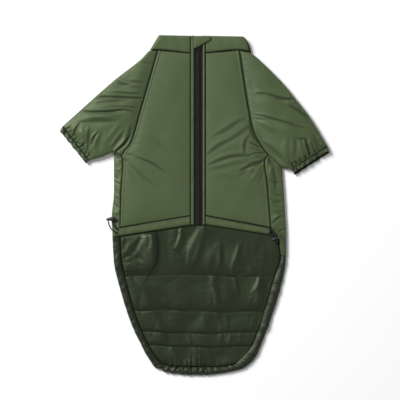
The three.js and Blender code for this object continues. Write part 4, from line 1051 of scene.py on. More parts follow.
sleeve_left = sleeve(
    "sleeve_left_shell", shifted(RAGLAN_LEFT, -0.15, 0.03),
    [
        (-51.3, 217.0), (-62.8, 216.6), (-67.6, 212.3), (-74.6, 204.7), (-111.0, 176.1), (-138.1, 152.6),
        (-184.9, 110.5),
    ],
    [(-102.5, 68.3), (-113.1, 73.9), (-130.0, 67.6), (-147.4, 62.8)],
    CUFF_SEAM_LEFT, SLEEVE_LEFT_FOLDS, "sleeve_left", 21,
)
sleeve_right = sleeve(
    "sleeve_right_shell", shifted(RAGLAN_RIGHT, 0.15, 0.03),
    [
        (62.7, 216.9), (75.4, 214.4), (81.8, 210.8), (121.6, 172.6), (141.6, 148.3), (161.6, 122.5),
        (185.8, 82.4),
    ],
    [(102.5, 71.2), (112.3, 62.2), (122.0, 52.4), (135.6, 50.5)],
    CUFF_SEAM_RIGHT, SLEEVE_RIGHT_FOLDS, "sleeve_right", 31,
)


# Side panels, folded round between the fronts and the back
def side_panel(name, seam, fold, first, rows, length, node, seed):
    start = first(np.array(0.0))

    def near(where):
        """The seam, led in over its first row from where the panel starts."""
        share = np.asarray(where)[..., None] * rows
        return np.where(share < 1, start + (seam(where) - start) * share, seam(where))

    patch = cloth_patch(near, fold, first)
    section = folded_section(18, 8, both=False)
    swell = unevenness(seed, 12, 10, 28, 0.32)

    def surface(column, along):
        place, width, across, edge, upper = folded_place(patch, section, column, along)
        edges = [across * width, along * length, (1 - along) * length]
        fall, shade = sewn_edges(edges[:1])
        shade = shade * upper
        rise = loft(edges[0] + 2, 4.0)
        relief, dark = fold_relief(SIDE_FOLDS, place)
        # Painted shade in the fold troughs of the upper layer.
        shade = np.maximum(shade, dark * upper)
        slope = 3.2 * np.clip(across, 0, 1) ** 1.3
        height = SEAM_TOP + rise * 0.9 - slope + loft(edges[0], 2.0) * (relief + swell(place)) - fall
        z = FOLD_MIDDLE + (np.where(upper, height, 0.0) - FOLD_MIDDLE) * edge
        return np.column_stack([place, np.maximum(z, 0), shade])

    piece = lay(
        name, surface, np.arange(len(section.edge)), spread(length, 1.0), shell, (node,),
    )
    return piece


side_left = side_panel(
    "side_left_shell", shifted(SIDE_SEAM_LEFT, -0.1, 0),
    smooth_line([(-112.9, 73.9), (-112.9, 40.0), (-113.2, 13.3), (-115.8, -11.9), (-115.5, -32.0)]),
    smooth_line([(-102.5, 68.4), (-112.9, 73.9)]), 11, 103.0, "side_left", 41,
)
side_right = side_panel(
    "side_right_shell", shifted(joined_line((SIDE_SEAM_RIGHT, 11), (ROLL_EDGE, 5)), 0.1, 0),
    smooth_line([(122.0, 52.3), (124.3, 21.7), (126.4, -11.9), (127.8, -37.1), (127.9, -70.6)]),
    smooth_line([(102.5, 71.2), (112.3, 62.2), (122.0, 52.3)]), 16, 135.0, "side_right",
    43,
)


# Back of the coat: a padded slab with rounded edges, its quilted rows pressed into the side that lies down
def padded_slab(name, patch, columns, rows, thickness, length, material, node, sunk):
    """A closed slab of padded cloth: sunk gives how far its underside stands off the surface."""
    middle = thickness / 2
    section = folded_section(columns, columns, both=True, turns=5, radius=middle)

    def surface(column, along):
        place, width, across, edge, upper = folded_place(patch, section, column, along)
        ends = np.minimum(along, 1 - along) * length
        edge = edge * np.sqrt(1 - (1 - np.clip(ends / middle, 0, 1)) ** 2)
        height = middle + (np.where(upper, thickness, sunk(place, across)) - middle) * edge
        return np.column_stack([place, height, np.zeros_like(height)])

    closer = np.array([0.0, 0.15, 0.5, 1.0, middle])
    even = np.linspace(middle, length - middle, rows)[1:-1]
    values = np.concatenate([closer, even, length - closer[::-1]]) / length
    return lay(
        name, surface, np.arange(len(section.edge)), values, material, (node,), ring=True, wall=0,
    )


back_swell = unevenness(51, 8, 30, 90, 0.25)
BACK_FOLDS = folds([
    ([(-60, 170), (-24, 152), (20, 150)], 9, 0.6), ([(30, 120), (58, 114), (80, 96)], 8, 0.7),
    ([(-88, 66), (-60, 52), (-30, 52)], 6, 0.8), ([(92, 60), (68, 54), (40, 40)], 6, 0.8),
    ([(-90, 10), (-66, -8), (-40, -14)], 8, 0.6), ([(88, -40), (60, -40), (30, -52)], 7, 0.7),
    ([(-70, -110), (-50, -108), (-30, -96)], 6, 0.5), ([(64, -130), (44, -128), (24, -118)], 6, 0.5),
])


def back_underside(place, across):
    """The underside's quilted rows and creases stand a little off the surface."""
    rows = sum(np.exp(-((place[..., 1] - row) / 1.6) ** 2) for row in QUILT_ROWS[1:-1])
    edge = np.clip(np.minimum(across, 1 - across) * 20, 0, 1)
    return np.clip(0.9 * rows + fold_relief(BACK_FOLDS, place)[0] + back_swell(place) * 0.5, 0, 1.4) * edge


BACK_ROWS = (10, 11, 5, 13)
BACK_LEFT = (RAGLAN_LEFT, SIDE_SEAM_LEFT, BESIDE_ROLL_LEFT, TAIL_INSIDE_LEFT)
BACK_RIGHT = (RAGLAN_RIGHT, SIDE_SEAM_RIGHT, ROLL_EDGE, TAIL_INSIDE_RIGHT)
back_patch = cloth_patch(
    shifted(joined_line(*zip(BACK_LEFT, BACK_ROWS)), 0.2, 0),
    shifted(joined_line(*zip(BACK_RIGHT, BACK_ROWS)), -0.2, 0),
    last=TAIL_INSIDE_END,
)
back = padded_slab(
    "back_shell", back_patch, 80, 230, BACK_THICKNESS, 445.0, shell, "back_panel", back_underside,
)

collar_back_patch = cloth_patch(
    smooth_line([(-39.4, 237.6), (-51.8, 217.8)]),
    smooth_line([(68.8, 236.0), (74.6, 228.0), (79.9, 213.4)]),
    last=smooth_line([(-51.8, 217.8), (62.6, 217.8), (79.9, 213.4)]),
)
collar_back = padded_slab(
    "collar_back_band", collar_back_patch, 60, 12, BACK_THICKNESS, 21.0, lining, "collar_back",
    lambda place, across: np.zeros_like(across),
)


# Tail lining, quilted in rows, with the wrinkles of a loose cloth
lining_patch = cloth_patch(
    shifted(smooth_line([
        (-104.0, -36.0), (-104.1, -45.5), (-101.4, -81.9), (-89.3, -130.9), (-78.8, -163.1), (-58.4, -205.1),
        (-46.4, -220.0),
    ]), 0.1, 0),
    shifted(smooth_line([
        (105.6, -35.0), (112.4, -42.7), (119.4, -67.9), (109.4, -104.3), (97.0, -146.3), (77.4, -198.1),
        (55.4, -221.0),
    ]), -0.1, 0),
    first=smooth_line([(-103.5, -36.0), (-50.0, -28.0), (4.0, -20.0), (55.0, -26.0), (105.1, -35.0)]),
    last=TAIL_INSIDE_END,
)
LINING_LENGTH = 195.0
LINING_WIDTH = 200.0
lining_swell = unevenness(61, 8, 24, 70, 0.45)
lining_fine = unevenness(62, 16, 5, 11, 0.04)
lining_ends = unevenness(63, 14, 4.5, 12, 0.8)


def quilt_line(row, x):
    """A stitched row droops and wanders a little."""
    return row + 1.5 * np.sin(x / 31 + row) + 0.6 * np.sin(x / 9 + 2 * row)


HEM_LOWER_EDGE = [(-115, -44.2), (-5.8, -27.2), (14.9, -27.0), (103, -41.4)]


def lining_surface(across, along):
    place = lining_patch(across, along)
    x, y = place[..., 0], place[..., 1]
    rows = np.array([quilt_line(row, x) for row in QUILT_ROWS])
    band = np.clip((rows > y).sum(0), 1, len(QUILT_ROWS) - 1)
    top = np.take_along_axis(rows, (band - 1)[None], 0)[0]
    bottom = np.take_along_axis(rows, band[None], 0)[0]
    share = np.clip((top - y) / (top - bottom), 0, 1)
    puffed = 1.7 * share ** 0.9 * (1 - share ** 9)
    hem_edge = np.interp(x, *zip(*HEM_LOWER_EDGE))
    clear = np.clip((hem_edge + 1 - y) / 7, 0, 1)
    clear = clear * clear * (3 - 2 * clear)
    edges = [across * LINING_WIDTH, (1 - across) * LINING_WIDTH, (1 - along) * LINING_LENGTH]
    near_edge = np.prod([loft(edge, 3.0) for edge in edges], axis=0)
    nearest_row = np.abs(rows[1:-1] - y).min(0)
    sewn = np.exp(-(nearest_row / 1.1) ** 2)
    relief, dark = fold_relief(LINING_FOLDS, place)
    # Painted shade in the fold troughs and along the steep side of each broad tilt.
    tilts, tilt_painted_shade = fold_relief(LINING_SHEENS, place)
    dark = np.maximum(0.6 * dark, tilt_painted_shade)
    crumple = 0.6 * relief + tilts + lining_swell(place) + lining_fine(place)
    height = LINING_ROWS - 0.3 + puffed * (0.2 + 0.8 * clear)
    height += clear * near_edge * crumple * (0.4 + 0.6 * (1 - sewn))
    height += pucker(nearest_row, x, 9.0, 0.05, reach=5.0) * clear
    reach = 5 + 4 * np.sin(x / 7 + 2 * np.sin(x / 17)) ** 2
    gathered = np.exp(-((x + 2) / 38) ** 2 - edges[2] / reach)
    height += 1.5 * lining_ends(place * (1, 0.25)) * gathered
    fall = np.maximum.reduce([rounded_in(edge, 1.2) * 0.8 for edge in edges])
    height = np.maximum(height, LINING_ROWS - 0.3) - fall - 0.35 * sewn
    # Painted shade along the quilted rows, the rounded edges and the fold troughs.
    return np.column_stack([place, height, np.clip(0.5 * sewn + 0.5 * fall + 0.8 * dark * clear, 0, 1)])


tail_lining = lay(
    "tail_lining", lining_surface, spread(215, 1.3), spread(LINING_LENGTH, 1.2, (False, True)), lining,
    ("back_lining",), wall=0.8,
)


# Collar: its two fronts, laid flat with their top edge folded over
COLLAR_DEPTH = 22.0
collar_swell = unevenness(71, 8, 14, 40, 0.16)


def collar_height(place, along):
    depth = [along * COLLAR_DEPTH, (1 - along) * COLLAR_DEPTH]
    tilt = 2.0 * np.clip(np.abs(place[..., 0] - ZIP_MIDDLE) / 60, 0, 1)
    crest = loft(depth[0] + 1.5, 5.0) * loft(depth[1] + 1.5, 5.0)
    return SEAM_TOP + crest + tilt + collar_swell(place)


def collar_fall(along, width_edges):
    top = sewn_edges([along * COLLAR_DEPTH], 2.6)[0]
    sewn, sewn_shade = sewn_edges([(1 - along) * COLLAR_DEPTH, *width_edges])
    return np.maximum(top, sewn), sewn_shade


collar_left_patch = cloth_patch(
    smooth_line([(WELT_LEFT - 0.2, COLLAR_TOP), (WELT_LEFT - 0.2, 213.0)]),
    smooth_line([(-50.2, 238.1), (-62.6, 217.5)]),
    last=smooth_line([(WELT_LEFT - 0.2, 213.0), (-50.2, 217.5), (-62.6, 217.5)]),
)
collar_left_section = folded_section(48, 8, both=False, under=0.3)


def collar_left_surface(column, along):
    place, width, across, edge, upper = folded_place(collar_left_patch, collar_left_section, column, along)
    fall, shade = collar_fall(along, [across * width])
    height = collar_height(place, along) - fall
    z = FOLD_MIDDLE + (np.where(upper, height, 0.1 + fall * 0.2) - FOLD_MIDDLE) * edge
    return np.column_stack([place, np.maximum(z, 0), shade * upper])


collar_left = lay(
    "collar_front_left_band", collar_left_surface, np.arange(len(collar_left_section.edge)),
    spread(COLLAR_DEPTH, 1.0), shell, ("collar_front_left",),
)

collar_right_patch = cloth_patch(
    smooth_line([(WELT_RIGHT + 0.2, COLLAR_TOP), (WELT_RIGHT + 0.2, 213.2)]),
    smooth_line([(67.6, 236.2), (71.8, 230.6), (74.4, 222.0), (75.3, 215.7)]),
    last=smooth_line([(WELT_RIGHT + 0.2, 213.2), (62.5, 217.6), (75.3, 215.7)]),
)


COLLAR_RIGHT_WIDTH = 58.0


def collar_right_surface(across, along):
    place = collar_right_patch(across, along)
    fall, shade = collar_fall(along, [across * COLLAR_RIGHT_WIDTH])
    end = sewn_edges([(1 - across) * COLLAR_RIGHT_WIDTH], 2.4)[0]
    height = collar_height(place, along) - np.maximum(fall, end)
    return np.column_stack([place, height, shade])


collar_right = lay(
    "collar_front_right_band", collar_right_surface, spread(COLLAR_RIGHT_WIDTH, 1.0),
    spread(COLLAR_DEPTH, 1.0), shell, ("collar_front_right",),
)


# Front hem: casings round the drawcords
HEM_DEPTH = 13.0
hem_swell = unevenness(81, 9, 9, 30, 0.2)


def hem_height(place, along):
    depth = [along * HEM_DEPTH, (1 - along) * HEM_DEPTH]
    crest = loft(depth[0] + 0.4, 3.0) * loft(depth[1] + 0.4, 3.0)
    return HEM_TOP - 1 + crest * (1 + hem_swell(place)) + pucker(depth[0], place[..., 0], 9.0, 0.07, 5.0)


def hem_shade(shade, along):
    """Deep in its own shade along the stitched top, less so along the lower fold."""
    above, below = along * HEM_DEPTH, (1 - along) * HEM_DEPTH
    return np.maximum(shade, np.maximum(np.exp(-(above / 2.0) ** 2), 0.75 * np.exp(-(below / 0.9) ** 2)))


hem_left_patch = cloth_patch(
    smooth_line([(WELT_LEFT - 0.2, -14.4), (WELT_LEFT - 0.2, -27.2)]),
    smooth_line([(-115.5, -32.4), (-115.0, -44.2)]),
    first=smooth_line([(WELT_LEFT - 0.2, -14.4), (-60.0, -23.4), (-104.4, -31.1), (-115.5, -32.4)]),
)
hem_left_section = folded_section(100, 10, both=False, under=0.12)


def hem_left_surface(column, along):
    place, width, across, edge, upper = folded_place(hem_left_patch, hem_left_section, column, along)
    sewn, shade = sewn_edges([along * HEM_DEPTH, across * width])
    shade = hem_shade(shade, along)
    lower = sewn_edges([(1 - along) * HEM_DEPTH], 1.5)[0]
    height = hem_height(place, along) - np.maximum(sewn, lower)
    z = FOLD_MIDDLE + (np.where(upper, height, 0.1) - FOLD_MIDDLE) * edge
    return np.column_stack([place, np.maximum(z, 0), shade * upper])


hem_left = lay(
    "front_hem_left_casing", hem_left_surface, np.arange(len(hem_left_section.edge)), spread(HEM_DEPTH, 0.9),
    shell, ("front_hem_left",),
)

hem_right_patch = cloth_patch(
    smooth_line([(WELT_RIGHT + 0.2, -14.1), (WELT_RIGHT + 0.2, -26.6)]),
    smooth_line([(105.9, -31.4), (104.6, -40.6)]),
)


HEM_RIGHT_WIDTH = 91.0


def hem_right_surface(across, along):
    place = hem_right_patch(across, along)
    sewn, shade = sewn_edges([along * HEM_DEPTH, across * HEM_RIGHT_WIDTH])
    shade = hem_shade(shade, along)
    lower = sewn_edges([(1 - along) * HEM_DEPTH, (1 - across) * HEM_RIGHT_WIDTH], 1.5)[0]
    height = hem_height(place, along) - np.maximum(sewn, lower)
    return np.column_stack([place, height, shade])


hem_right = lay(
    "front_hem_right_casing", hem_right_surface, spread(HEM_RIGHT_WIDTH, 0.9), spread(HEM_DEPTH, 0.9),
    shell, ("front_hem_right",),
)


# Zip facings: narrow folded edges on both sides of the zip, from the collar's top to the hem
WELT_LENGTH = COLLAR_TOP - ZIP_BOTTOM
WELT_PROFILE = [
    (0.0, 6.0), (0.02, 7.4), (0.08, 8.2), (0.18, 8.8), (0.35, 9.15), (0.55, 9.2), (0.75, 9.1), (0.88, 8.8),
    (0.96, 8.2), (1.0, 7.6), (0.97, 7.15), (0.9, 7.02),
]
welt_swell = unevenness(91, 8, 14, 60, 0.22)


def zip_facing(name, outer, inner, node):
    across = np.array([row[0] for row in WELT_PROFILE])
    height = np.array([row[1] for row in WELT_PROFILE])

    def surface(column, along):
        index = column.astype(int)
        y = COLLAR_TOP - WELT_LENGTH * along
        place = np.column_stack([outer + (inner - outer) * across[index], y])
        ends, shade = sewn_edges([along * WELT_LENGTH, (1 - along) * WELT_LENGTH], 1.2)
        crest = np.sin(np.pi * np.clip(across[index], 0, 1))
        top = height[index] + crest * (welt_swell(place) + 0.12 * np.sin(y / 3.1 + np.sin(y / 11)))
        top = np.where(index < len(height) - 2, np.maximum(top - ends * 0.8, 7.0), height[index])
        # Painted shade: full on the two outer columns down in the seam beside the front, half on the third.
        return np.column_stack([place, top, np.where(index < 2, 1.0, np.where(index == 2, 0.5, 0.0))])

    piece = lay(
        name, surface, np.arange(len(across)), spread(WELT_LENGTH, 1.2), shell, (node,), wall=0.6,
    )
    return piece


welt_left = zip_facing("zip_facing_left", WELT_LEFT, ZIP_LEFT, "zip_welt_left")
welt_right = zip_facing("zip_facing_right", WELT_RIGHT, ZIP_RIGHT, "zip_welt_right")

# Zip: the woven tapes keep their solids, and the closed coil is made turn by turn
for tape in ("zip_tape_left", "zip_tape_right"):
    tape_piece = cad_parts[tape]
    tape_piece.data.materials.clear()
    tape_piece.data.materials.append(tape_cloth)

COIL_PITCH = 1.3
COIL_BASE = 7.0
COIL_TURN = (1.42, 0.44, 0.62)     # half sizes of a turn: across, along, up
COIL_APART = 0.98                  # of a turn's middle from the zip's middle
COIL_END = 218.6


def zip_coil():
    """A pair of turns, one from each tape, repeated down the zip."""
    work = bmesh.new()
    for side in (-1, 1):
        y = ZIP_BOTTOM + COIL_PITCH * (0.5 + 0.25 * side)
        place = Vector((ZIP_MIDDLE + side * COIL_APART, y, COIL_BASE + COIL_TURN[2]))
        shape = Matrix.Diagonal((*COIL_TURN, 1))
        lean = Matrix.Rotation(side * 0.16, 4, "Z")
        bmesh.ops.create_uvsphere(
            work, u_segments=8, v_segments=6, radius=MM, matrix=Matrix.Translation(place * MM) @ lean @ shape,
        )
    piece = finish_piece("zip_coil", work, coil_plastic, ("zip_chain",))
    turns = piece.modifiers.new("turns", "ARRAY")
    turns.count = int((COIL_END - ZIP_BOTTOM) / COIL_PITCH)
    turns.use_relative_offset = False
    turns.use_constant_offset = True
    turns.constant_offset_displace = (0, COIL_PITCH * MM, 0)


zip_coil()


def stadium(work, length, width, height, bevel):
    """A block with rounded ends and softened edges."""
    made = bmesh.ops.create_cube(work, size=MM)["verts"]
    bmesh.ops.scale(work, verts=made, vec=(width, length, height))
    upright = [
        edge for edge in work.edges
        if edge.verts[0] in made and abs((edge.verts[0].co - edge.verts[1].co).z) > height * MM / 2
    ]
    ends = bmesh.ops.bevel(
        work, geom=upright, offset=width * MM * 0.32, segments=6, profile=0.5, affect="EDGES", material=-1,
    )
    block = list({vert for face in ends["faces"] for vert in face.verts} | {v for v in made if v.is_valid})
    rim = [
        edge for edge in {edge for vert in block for edge in vert.link_edges}
        if len(edge.link_faces) == 2 and edge.calc_face_angle() > math.radians(60)
    ]
    bmesh.ops.bevel(
        work, geom=rim, offset=bevel * MM, segments=3, profile=0.5, affect="EDGES", material=-1,
    )


def zip_slider():
    """The slider's body, with the bridge that carries its pull, under the guard."""
    work = bmesh.new()
    parts = [
        ((ZIP_MIDDLE, 223.6, 7.7), 10.0, 9.0, 1.4, 0.4),
        ((ZIP_MIDDLE, 223.6, 8.7), 6.5, 3.0, 0.9, 0.3),
    ]
    for place, length, width, height, bevel in parts:
        block = bmesh.new()
        stadium(block, length, width, height, bevel)
        bmesh.ops.translate(block, verts=block.verts, vec=Vector(place) * MM)
        holder = bpy.data.meshes.new("slider_part")
        block.to_mesh(holder)
        block.free()
        work.from_mesh(holder)
        bpy.data.meshes.remove(holder)
    finish_piece("zip_slider_body", work, slider_metal, ("zip_slider",))


zip_slider()

# Zip guard: a tab of shell cloth folded over the top of the zip
GUARD_TOP = 11.3
GUARD_WIDTH = 22.0
GUARD_DEPTH = 10.0        # in its middle
GUARD_LEFT_DEPTH = 14.0
guard_patch = cloth_patch(
    smooth_line([(-1.0, 236.7), (-1.7, 226.0), (-0.9, 219.8), (0.8, 219.3)]),
    smooth_line([(21.8, 236.4), (22.9, 233.4), (22.2, 231.3), (20.8, 230.0)]),
)


def guard_surface(across, along):
    place = guard_patch(across, along)
    edges = [
        across * GUARD_WIDTH, (1 - across) * GUARD_WIDTH, along * GUARD_DEPTH, (1 - along) * GUARD_DEPTH,
    ]
    fall = sewn_edges(edges, 1.0)[0]
    pillow = np.prod([loft(edge, 2.2) for edge in edges], axis=0)
    height = GUARD_TOP - 0.5 + 0.7 * pillow - np.minimum(fall, 1.4)
    return np.column_stack([place, height, np.zeros_like(height)])


guard = lay(
    "zip_guard_tab", guard_surface, spread(GUARD_WIDTH, 0.6), spread(GUARD_LEFT_DEPTH, 0.6), shell,
    ("zip_guard",), wall=0.7,
)


# Cuffs: elastic casings, gathered, the right one showing the dark inside of its lower layer
CUFF_TOP = 8.0
CUFF_DEPTH = 8.0
CUFF_WIDTH = 60.0


def cuff(name, seam, hem, node, shown_inside, seed):
    flat = cloth_patch(seam, hem)
    section = folded_section(200, 90, both=True)
    outwards = hem(np.array(0.5)) - seam(np.array(0.5))
    outwards = outwards / np.hypot(*outwards)
    deep = unevenness(seed, 12, 5.5, 12, 1.0)
    fine = unevenness(seed + 1, 10, 2.8, 4.5, 0.4)

    def patch(across, along):
        return flat(along, across)

    def surface(column, along):
        across, edge, upper = folded_place(patch, section, column, along)[2:]
        gathered = np.stack([across * CUFF_WIDTH, 0.3 * along * CUFF_DEPTH + 40 * ~upper], axis=-1)
        wave = deep(gathered) + fine(gathered)
        reach = along * np.where(upper, 1 - shown_inside * np.clip(edge, 0, 1), 1.0)
        place = patch(across, reach) + (0.45 * reach * wave)[:, None] * outwards
        depth = [along * CUFF_DEPTH, (1 - along) * CUFF_DEPTH]
        sewn, shade = sewn_edges(depth[:1], 1.3)
        hem_fall = sewn_edges(depth[1:], 0.9)[0]
        ruffle = (0.5 + 0.5 * along) * wave
        height = CUFF_TOP + 0.3 + 0.9 * ruffle - sewn - 0.7 * hem_fall
        under = 0.15 * (1 + wave) * along * (shown_inside > 0)
        z = FOLD_MIDDLE + (np.where(upper, height, under) - FOLD_MIDDLE) * edge
        at_seam = np.exp(-((depth[0] - 0.8) / 2.2) ** 2)
        # Painted shade in the seam and in the valleys between ruffles, deepest beside the seam.
        ruffle_painted_shade = np.clip(-ruffle * (0.8 + 1.8 * at_seam), 0, 1)
        shade = np.maximum(shade * (0.7 + 0.3 * np.sin(across * 31)), ruffle_painted_shade)
        return np.column_stack([place, np.maximum(z, 0), shade * upper])

    piece = lay(
        name, surface, np.arange(len(section.edge)), spread(CUFF_DEPTH, 0.7), cuff_cloth,
        (node,), ring=True, wall=0.8, inside=lining,
    )
    return piece


cuff_left = cuff(
    "cuff_left_casing", shifted(CUFF_SEAM_LEFT, -0.1, -0.1), smooth_line([(-188.4, 104.3), (-151.9, 58.9)]),
    "cuff_left", 0.0, 101,
)
cuff_right = cuff(
    "cuff_right_casing", shifted(CUFF_SEAM_RIGHT, 0.1, -0.1), smooth_line([(188.4, 73.9), (139.7, 42.6)]),
    "cuff_right", 0.42, 102,
)

# Tail hem: an elastic casing round the tail in three stretches, the last strongly gathered
CASING_PROFILE = [
    (0.0, 0.0), (0.0, 1.6), (0.0, 3.0), (0.03, 3.8), (0.1, 4.5), (0.19, 5.1), (0.29, 5.6), (0.4, 6.0),
    (0.52, 6.3), (0.64, 6.3), (0.75, 5.9), (0.85, 5.2), (0.92, 4.3), (0.975, 3.2), (1.0, 2.0), (0.99, 0.9),
    (0.95, 0.25), (0.9, 0.0), (0.6, 0.0), (0.3, 0.0),
]


def tail_casing(name, inside, outside, length, gathers, node, tuck=0.0):
    patch = cloth_patch(inside, outside)
    profile = np.array(CASING_PROFILE)

    def surface(column, along):
        index = column.astype(int)
        across, rise = profile[index, 0], profile[index, 1]
        width = cloth_width(patch, along)
        wave = gathers(np.stack([along * length, 0.35 * across * width], axis=-1), along)
        taper = np.clip(np.minimum(along, 1 - along) * length / 3, 0, 1)
        place = patch(across * (1 + wave * 0.5 / width * taper), along)
        place[:, 1] += tuck * np.clip(1 - along * length / 4, 0, 1)
        lift = np.clip(rise / 5, 0, 1)
        height = rise + wave * lift
        # Painted shade: darkest along the inner edge beside the lining, and in the valleys between gathers.
        shade = np.exp(-(across * width / 3.6) ** 2) + np.clip(-wave, 0, 1) * 0.8 * lift
        return np.column_stack([place, np.maximum(height, 0), np.clip(shade, 0, 1)])

    piece = lay(
        name, surface, np.arange(len(profile)), np.linspace(0, 1, round(length / 0.55)), tail_hem_cloth,
        (node,), ring=True, capped=True, wall=0.6,
    )
    return piece


def slight_gathers(seed):
    """Shallow uneven gathers, as along the sides of the tail."""
    soft = unevenness(seed, 12, 9, 26, 0.42)
    fine = unevenness(seed + 1, 14, 3.5, 9, 0.11)
    return lambda place, along: soft(place) + fine(place) * (0.4 + 0.6 * np.sin(9 * along + seed) ** 2)


def end_gathers(seed):
    """Deep ruffles that stop short of the right corner."""
    deep = unevenness(seed, 12, 5.5, 11, 0.95)
    fine = unevenness(seed + 1, 10, 3.0, 4.5, 0.35)

    def at(place, along):
        left_part = np.clip((0.72 - along) / 0.12, 0, 1)
        return (deep(place) + fine(place)) * (0.2 + 0.8 * left_part)
    return at


below_left_hem = joined_line((part_of(BESIDE_ROLL_LEFT, 0.38, 1), 3), (TAIL_INSIDE_LEFT, 13))
tail_left = tail_casing(
    "tail_hem_left_casing", shifted(below_left_hem, -0.2, 0), TAIL_OUTSIDE_LEFT, 192.0, slight_gathers(111),
    "tail_hem_left", tuck=1.6,
)
tail_right = tail_casing(
    "tail_hem_right_casing", shifted(part_of(TAIL_INSIDE_RIGHT, 0.02, 1), 0.2, 0), TAIL_OUTSIDE_RIGHT, 166.0,
    slight_gathers(112), "tail_hem_right", tuck=2.2,
)
tail_end = tail_casing(
    "tail_hem_end_casing", shifted(TAIL_INSIDE_END, 0, -0.3), TAIL_OUTSIDE_END, 118.0, end_gathers(113),
    "tail_hem_end",
)

# Floor
floor_mesh = bpy.data.meshes.new("floor")
floor_work = bmesh.new()
bmesh.ops.create_grid(floor_work, x_segments=1, y_segments=1, size=2.0)
floor_work.to_mesh(floor_mesh)
floor_work.free()
floor = bpy.data.objects.new("floor", floor_mesh)
floor.location.z = -0.0002
scene.collection.objects.link(floor)
floor_finish = Finish("floor_paint", 0.9, Specular_IOR_Level=0.1)
floor_finish.shader.inputs["Base Color"].default_value = (0.94, 0.94, 0.94, 1)
floor_mesh.materials.append(floor_finish.material)


# Stitching: each row is one thread that rises over the cloth and dips into it at every hole
THREAD_RADIUS = 0.2
STITCH_ROWS = 6
STITCH_SIDES = 6


def cloth_tops(pieces):
    """The upper surface of these pieces, as a function from places to heights, all in mm."""
    trees = []
    for piece in pieces:
        work = bmesh.new()
        work.from_mesh(piece.data)
        trees.append(BVHTree.FromBMesh(work))
        work.free()

    def at(places):
        heights = []
        for x, y in places * MM:
            hits = [tree.ray_cast((x, y, 0.05), (0, 0, -1))[0] for tree in trees]
            heights.append(max((hit.z for hit in hits if hit), default=0.0) / MM)
        return np.array(heights)
    return at


def beside(line, offset, start, end):
    """A line that runs at an even distance beside another; a positive offset is to its left."""
    share = np.linspace(start, end, 200)
    path = line(share)
    ahead = np.gradient(path, axis=0)
    ahead /= np.linalg.norm(ahead, axis=1)[:, None]
    return smooth_path(path + offset * np.column_stack([-ahead[:, 1], ahead[:, 0]]))


def stitching(name, lines, tops, pitch=2.5, radius=THREAD_RADIUS, material=thread):
    """Rows of stitches along lines on the cloth below them."""
    work = bmesh.new()
    for line in lines:
        count = max(2, round(line.length / pitch))
        rows = count * STITCH_ROWS
        share = np.arange(rows + 1) / rows
        centre = line(share)
        ahead = np.gradient(centre, axis=0)
        ahead /= np.linalg.norm(ahead, axis=1)[:, None]
        wave = np.abs(np.sin(np.pi * share * count)) ** 0.7
        height = tops(centre) + radius * (2.4 * wave - 1.7)
        angle = np.arange(STITCH_SIDES) * 2 * np.pi / STITCH_SIDES
        section = bmesh.new()
        bmesh.ops.create_grid(section, x_segments=STITCH_SIDES, y_segments=rows, size=0.5)
        for vert in section.verts:
            side = round((vert.co.x + 0.5) * STITCH_SIDES) % STITCH_SIDES
            row = round((vert.co.y + 0.5) * rows)
            out = radius * math.cos(angle[side]) * 0.9
            vert.co = Vector((
                centre[row, 0] - ahead[row, 1] * out,
                centre[row, 1] + ahead[row, 0] * out,
                height[row] + radius * math.sin(angle[side]),
            )) * MM
        bmesh.ops.remove_doubles(section, verts=section.verts, dist=1e-7)
        bmesh.ops.edgeloop_fill(section, edges=[edge for edge in section.edges if edge.is_boundary])
        bmesh.ops.recalc_face_normals(section, faces=section.faces)
        holder = bpy.data.meshes.new("stitch_row")
        section.to_mesh(holder)
        section.free()
        work.from_mesh(holder)
        bpy.data.meshes.remove(holder)
    finish_piece(name, work, material)


fronts_top = cloth_tops([front_left, front_right, sleeve_left, sleeve_right, collar_left, collar_right])
hems_top = cloth_tops([hem_left, hem_right, side_left])
facing_top = cloth_tops([welt_left, welt_right])
lining_top = cloth_tops([tail_lining])
tail_top = cloth_tops([tail_left, tail_right, tail_end])
cuffs_top = cloth_tops([cuff_left, cuff_right])
guard_top = cloth_tops([guard])


def level_line(x1, y1, x2, y2):
    return smooth_path(np.array([(x1, y1), (x2, y2)], float))


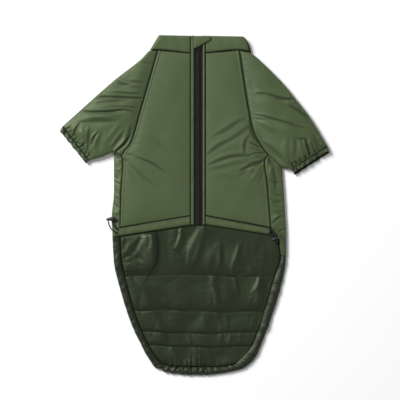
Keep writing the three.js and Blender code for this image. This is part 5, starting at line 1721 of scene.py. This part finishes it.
hem_left_top = smooth_line([(-7.5, -17.0), (-60.0, -26.0), (-104.4, -33.6), (-113.0, -34.6)])
hem_left_low = smooth_line([(-7.5, -25.2), (-60.0, -33.4), (-113.0, -41.6)])
hem_right_top = smooth_line([(16.5, -16.4), (60.0, -24.4), (104.0, -33.0)])
hem_right_low = smooth_line([(16.5, -24.8), (60.0, -31.2), (103.2, -38.4)])
stitching("hem_stitching", [hem_left_top, hem_left_low, hem_right_top, hem_right_low], hems_top)
stitching("zip_stitching", [
    level_line(WELT_LEFT + 1.6, 236.0, WELT_LEFT + 1.6, -25.6),
    level_line(WELT_RIGHT - 1.3, 236.0, WELT_RIGHT - 1.3, -25.6),
], facing_top)
stitching("raglan_stitching", [
    beside(RAGLAN_LEFT, 2.6, 0.02, 0.98), beside(RAGLAN_RIGHT, -2.6, 0.02, 0.98),
], fronts_top, radius=0.15)
stitching("collar_stitching", [
    level_line(-8.0, 215.2, -49.5, 219.9), level_line(17.0, 215.4, 61.5, 219.9),
], fronts_top, radius=0.15)
stitching("guard_stitching", [
    smooth_line([(21.2, 234.9), (1.2, 235.2), (0.6, 222.4), (20.2, 231.6), (21.2, 234.0)]),
], guard_top, radius=0.15)
stitching("cuff_stitching", [
    beside(CUFF_SEAM_LEFT, -1.7, 0.03, 0.97), beside(CUFF_SEAM_RIGHT, 1.5, 0.03, 0.97),
], cuffs_top, radius=0.16)
quilt_threads = []
for row, left, right in zip(QUILT_ROWS[1:-1], (-95.5, -82.5, -70.5, -61.0), (109.5, 95.0, 83.5, 76.0)):
    x = np.linspace(left, right, 120)
    quilt_threads.append(smooth_path(np.column_stack([x, quilt_line(row, x)])))
stitching(
    "quilt_stitching", quilt_threads, lining_top, pitch=3.0, radius=0.16, material=tail_hem_cloth,
)
stitching("tail_stitching", [
    beside(below_left_hem, -2.4, 0.02, 0.985), beside(TAIL_INSIDE_RIGHT, 2.4, 0.03, 0.985),
    beside(TAIL_INSIDE_END, -2.2, 0.01, 0.99),
], tail_top, material=tail_hem_cloth)
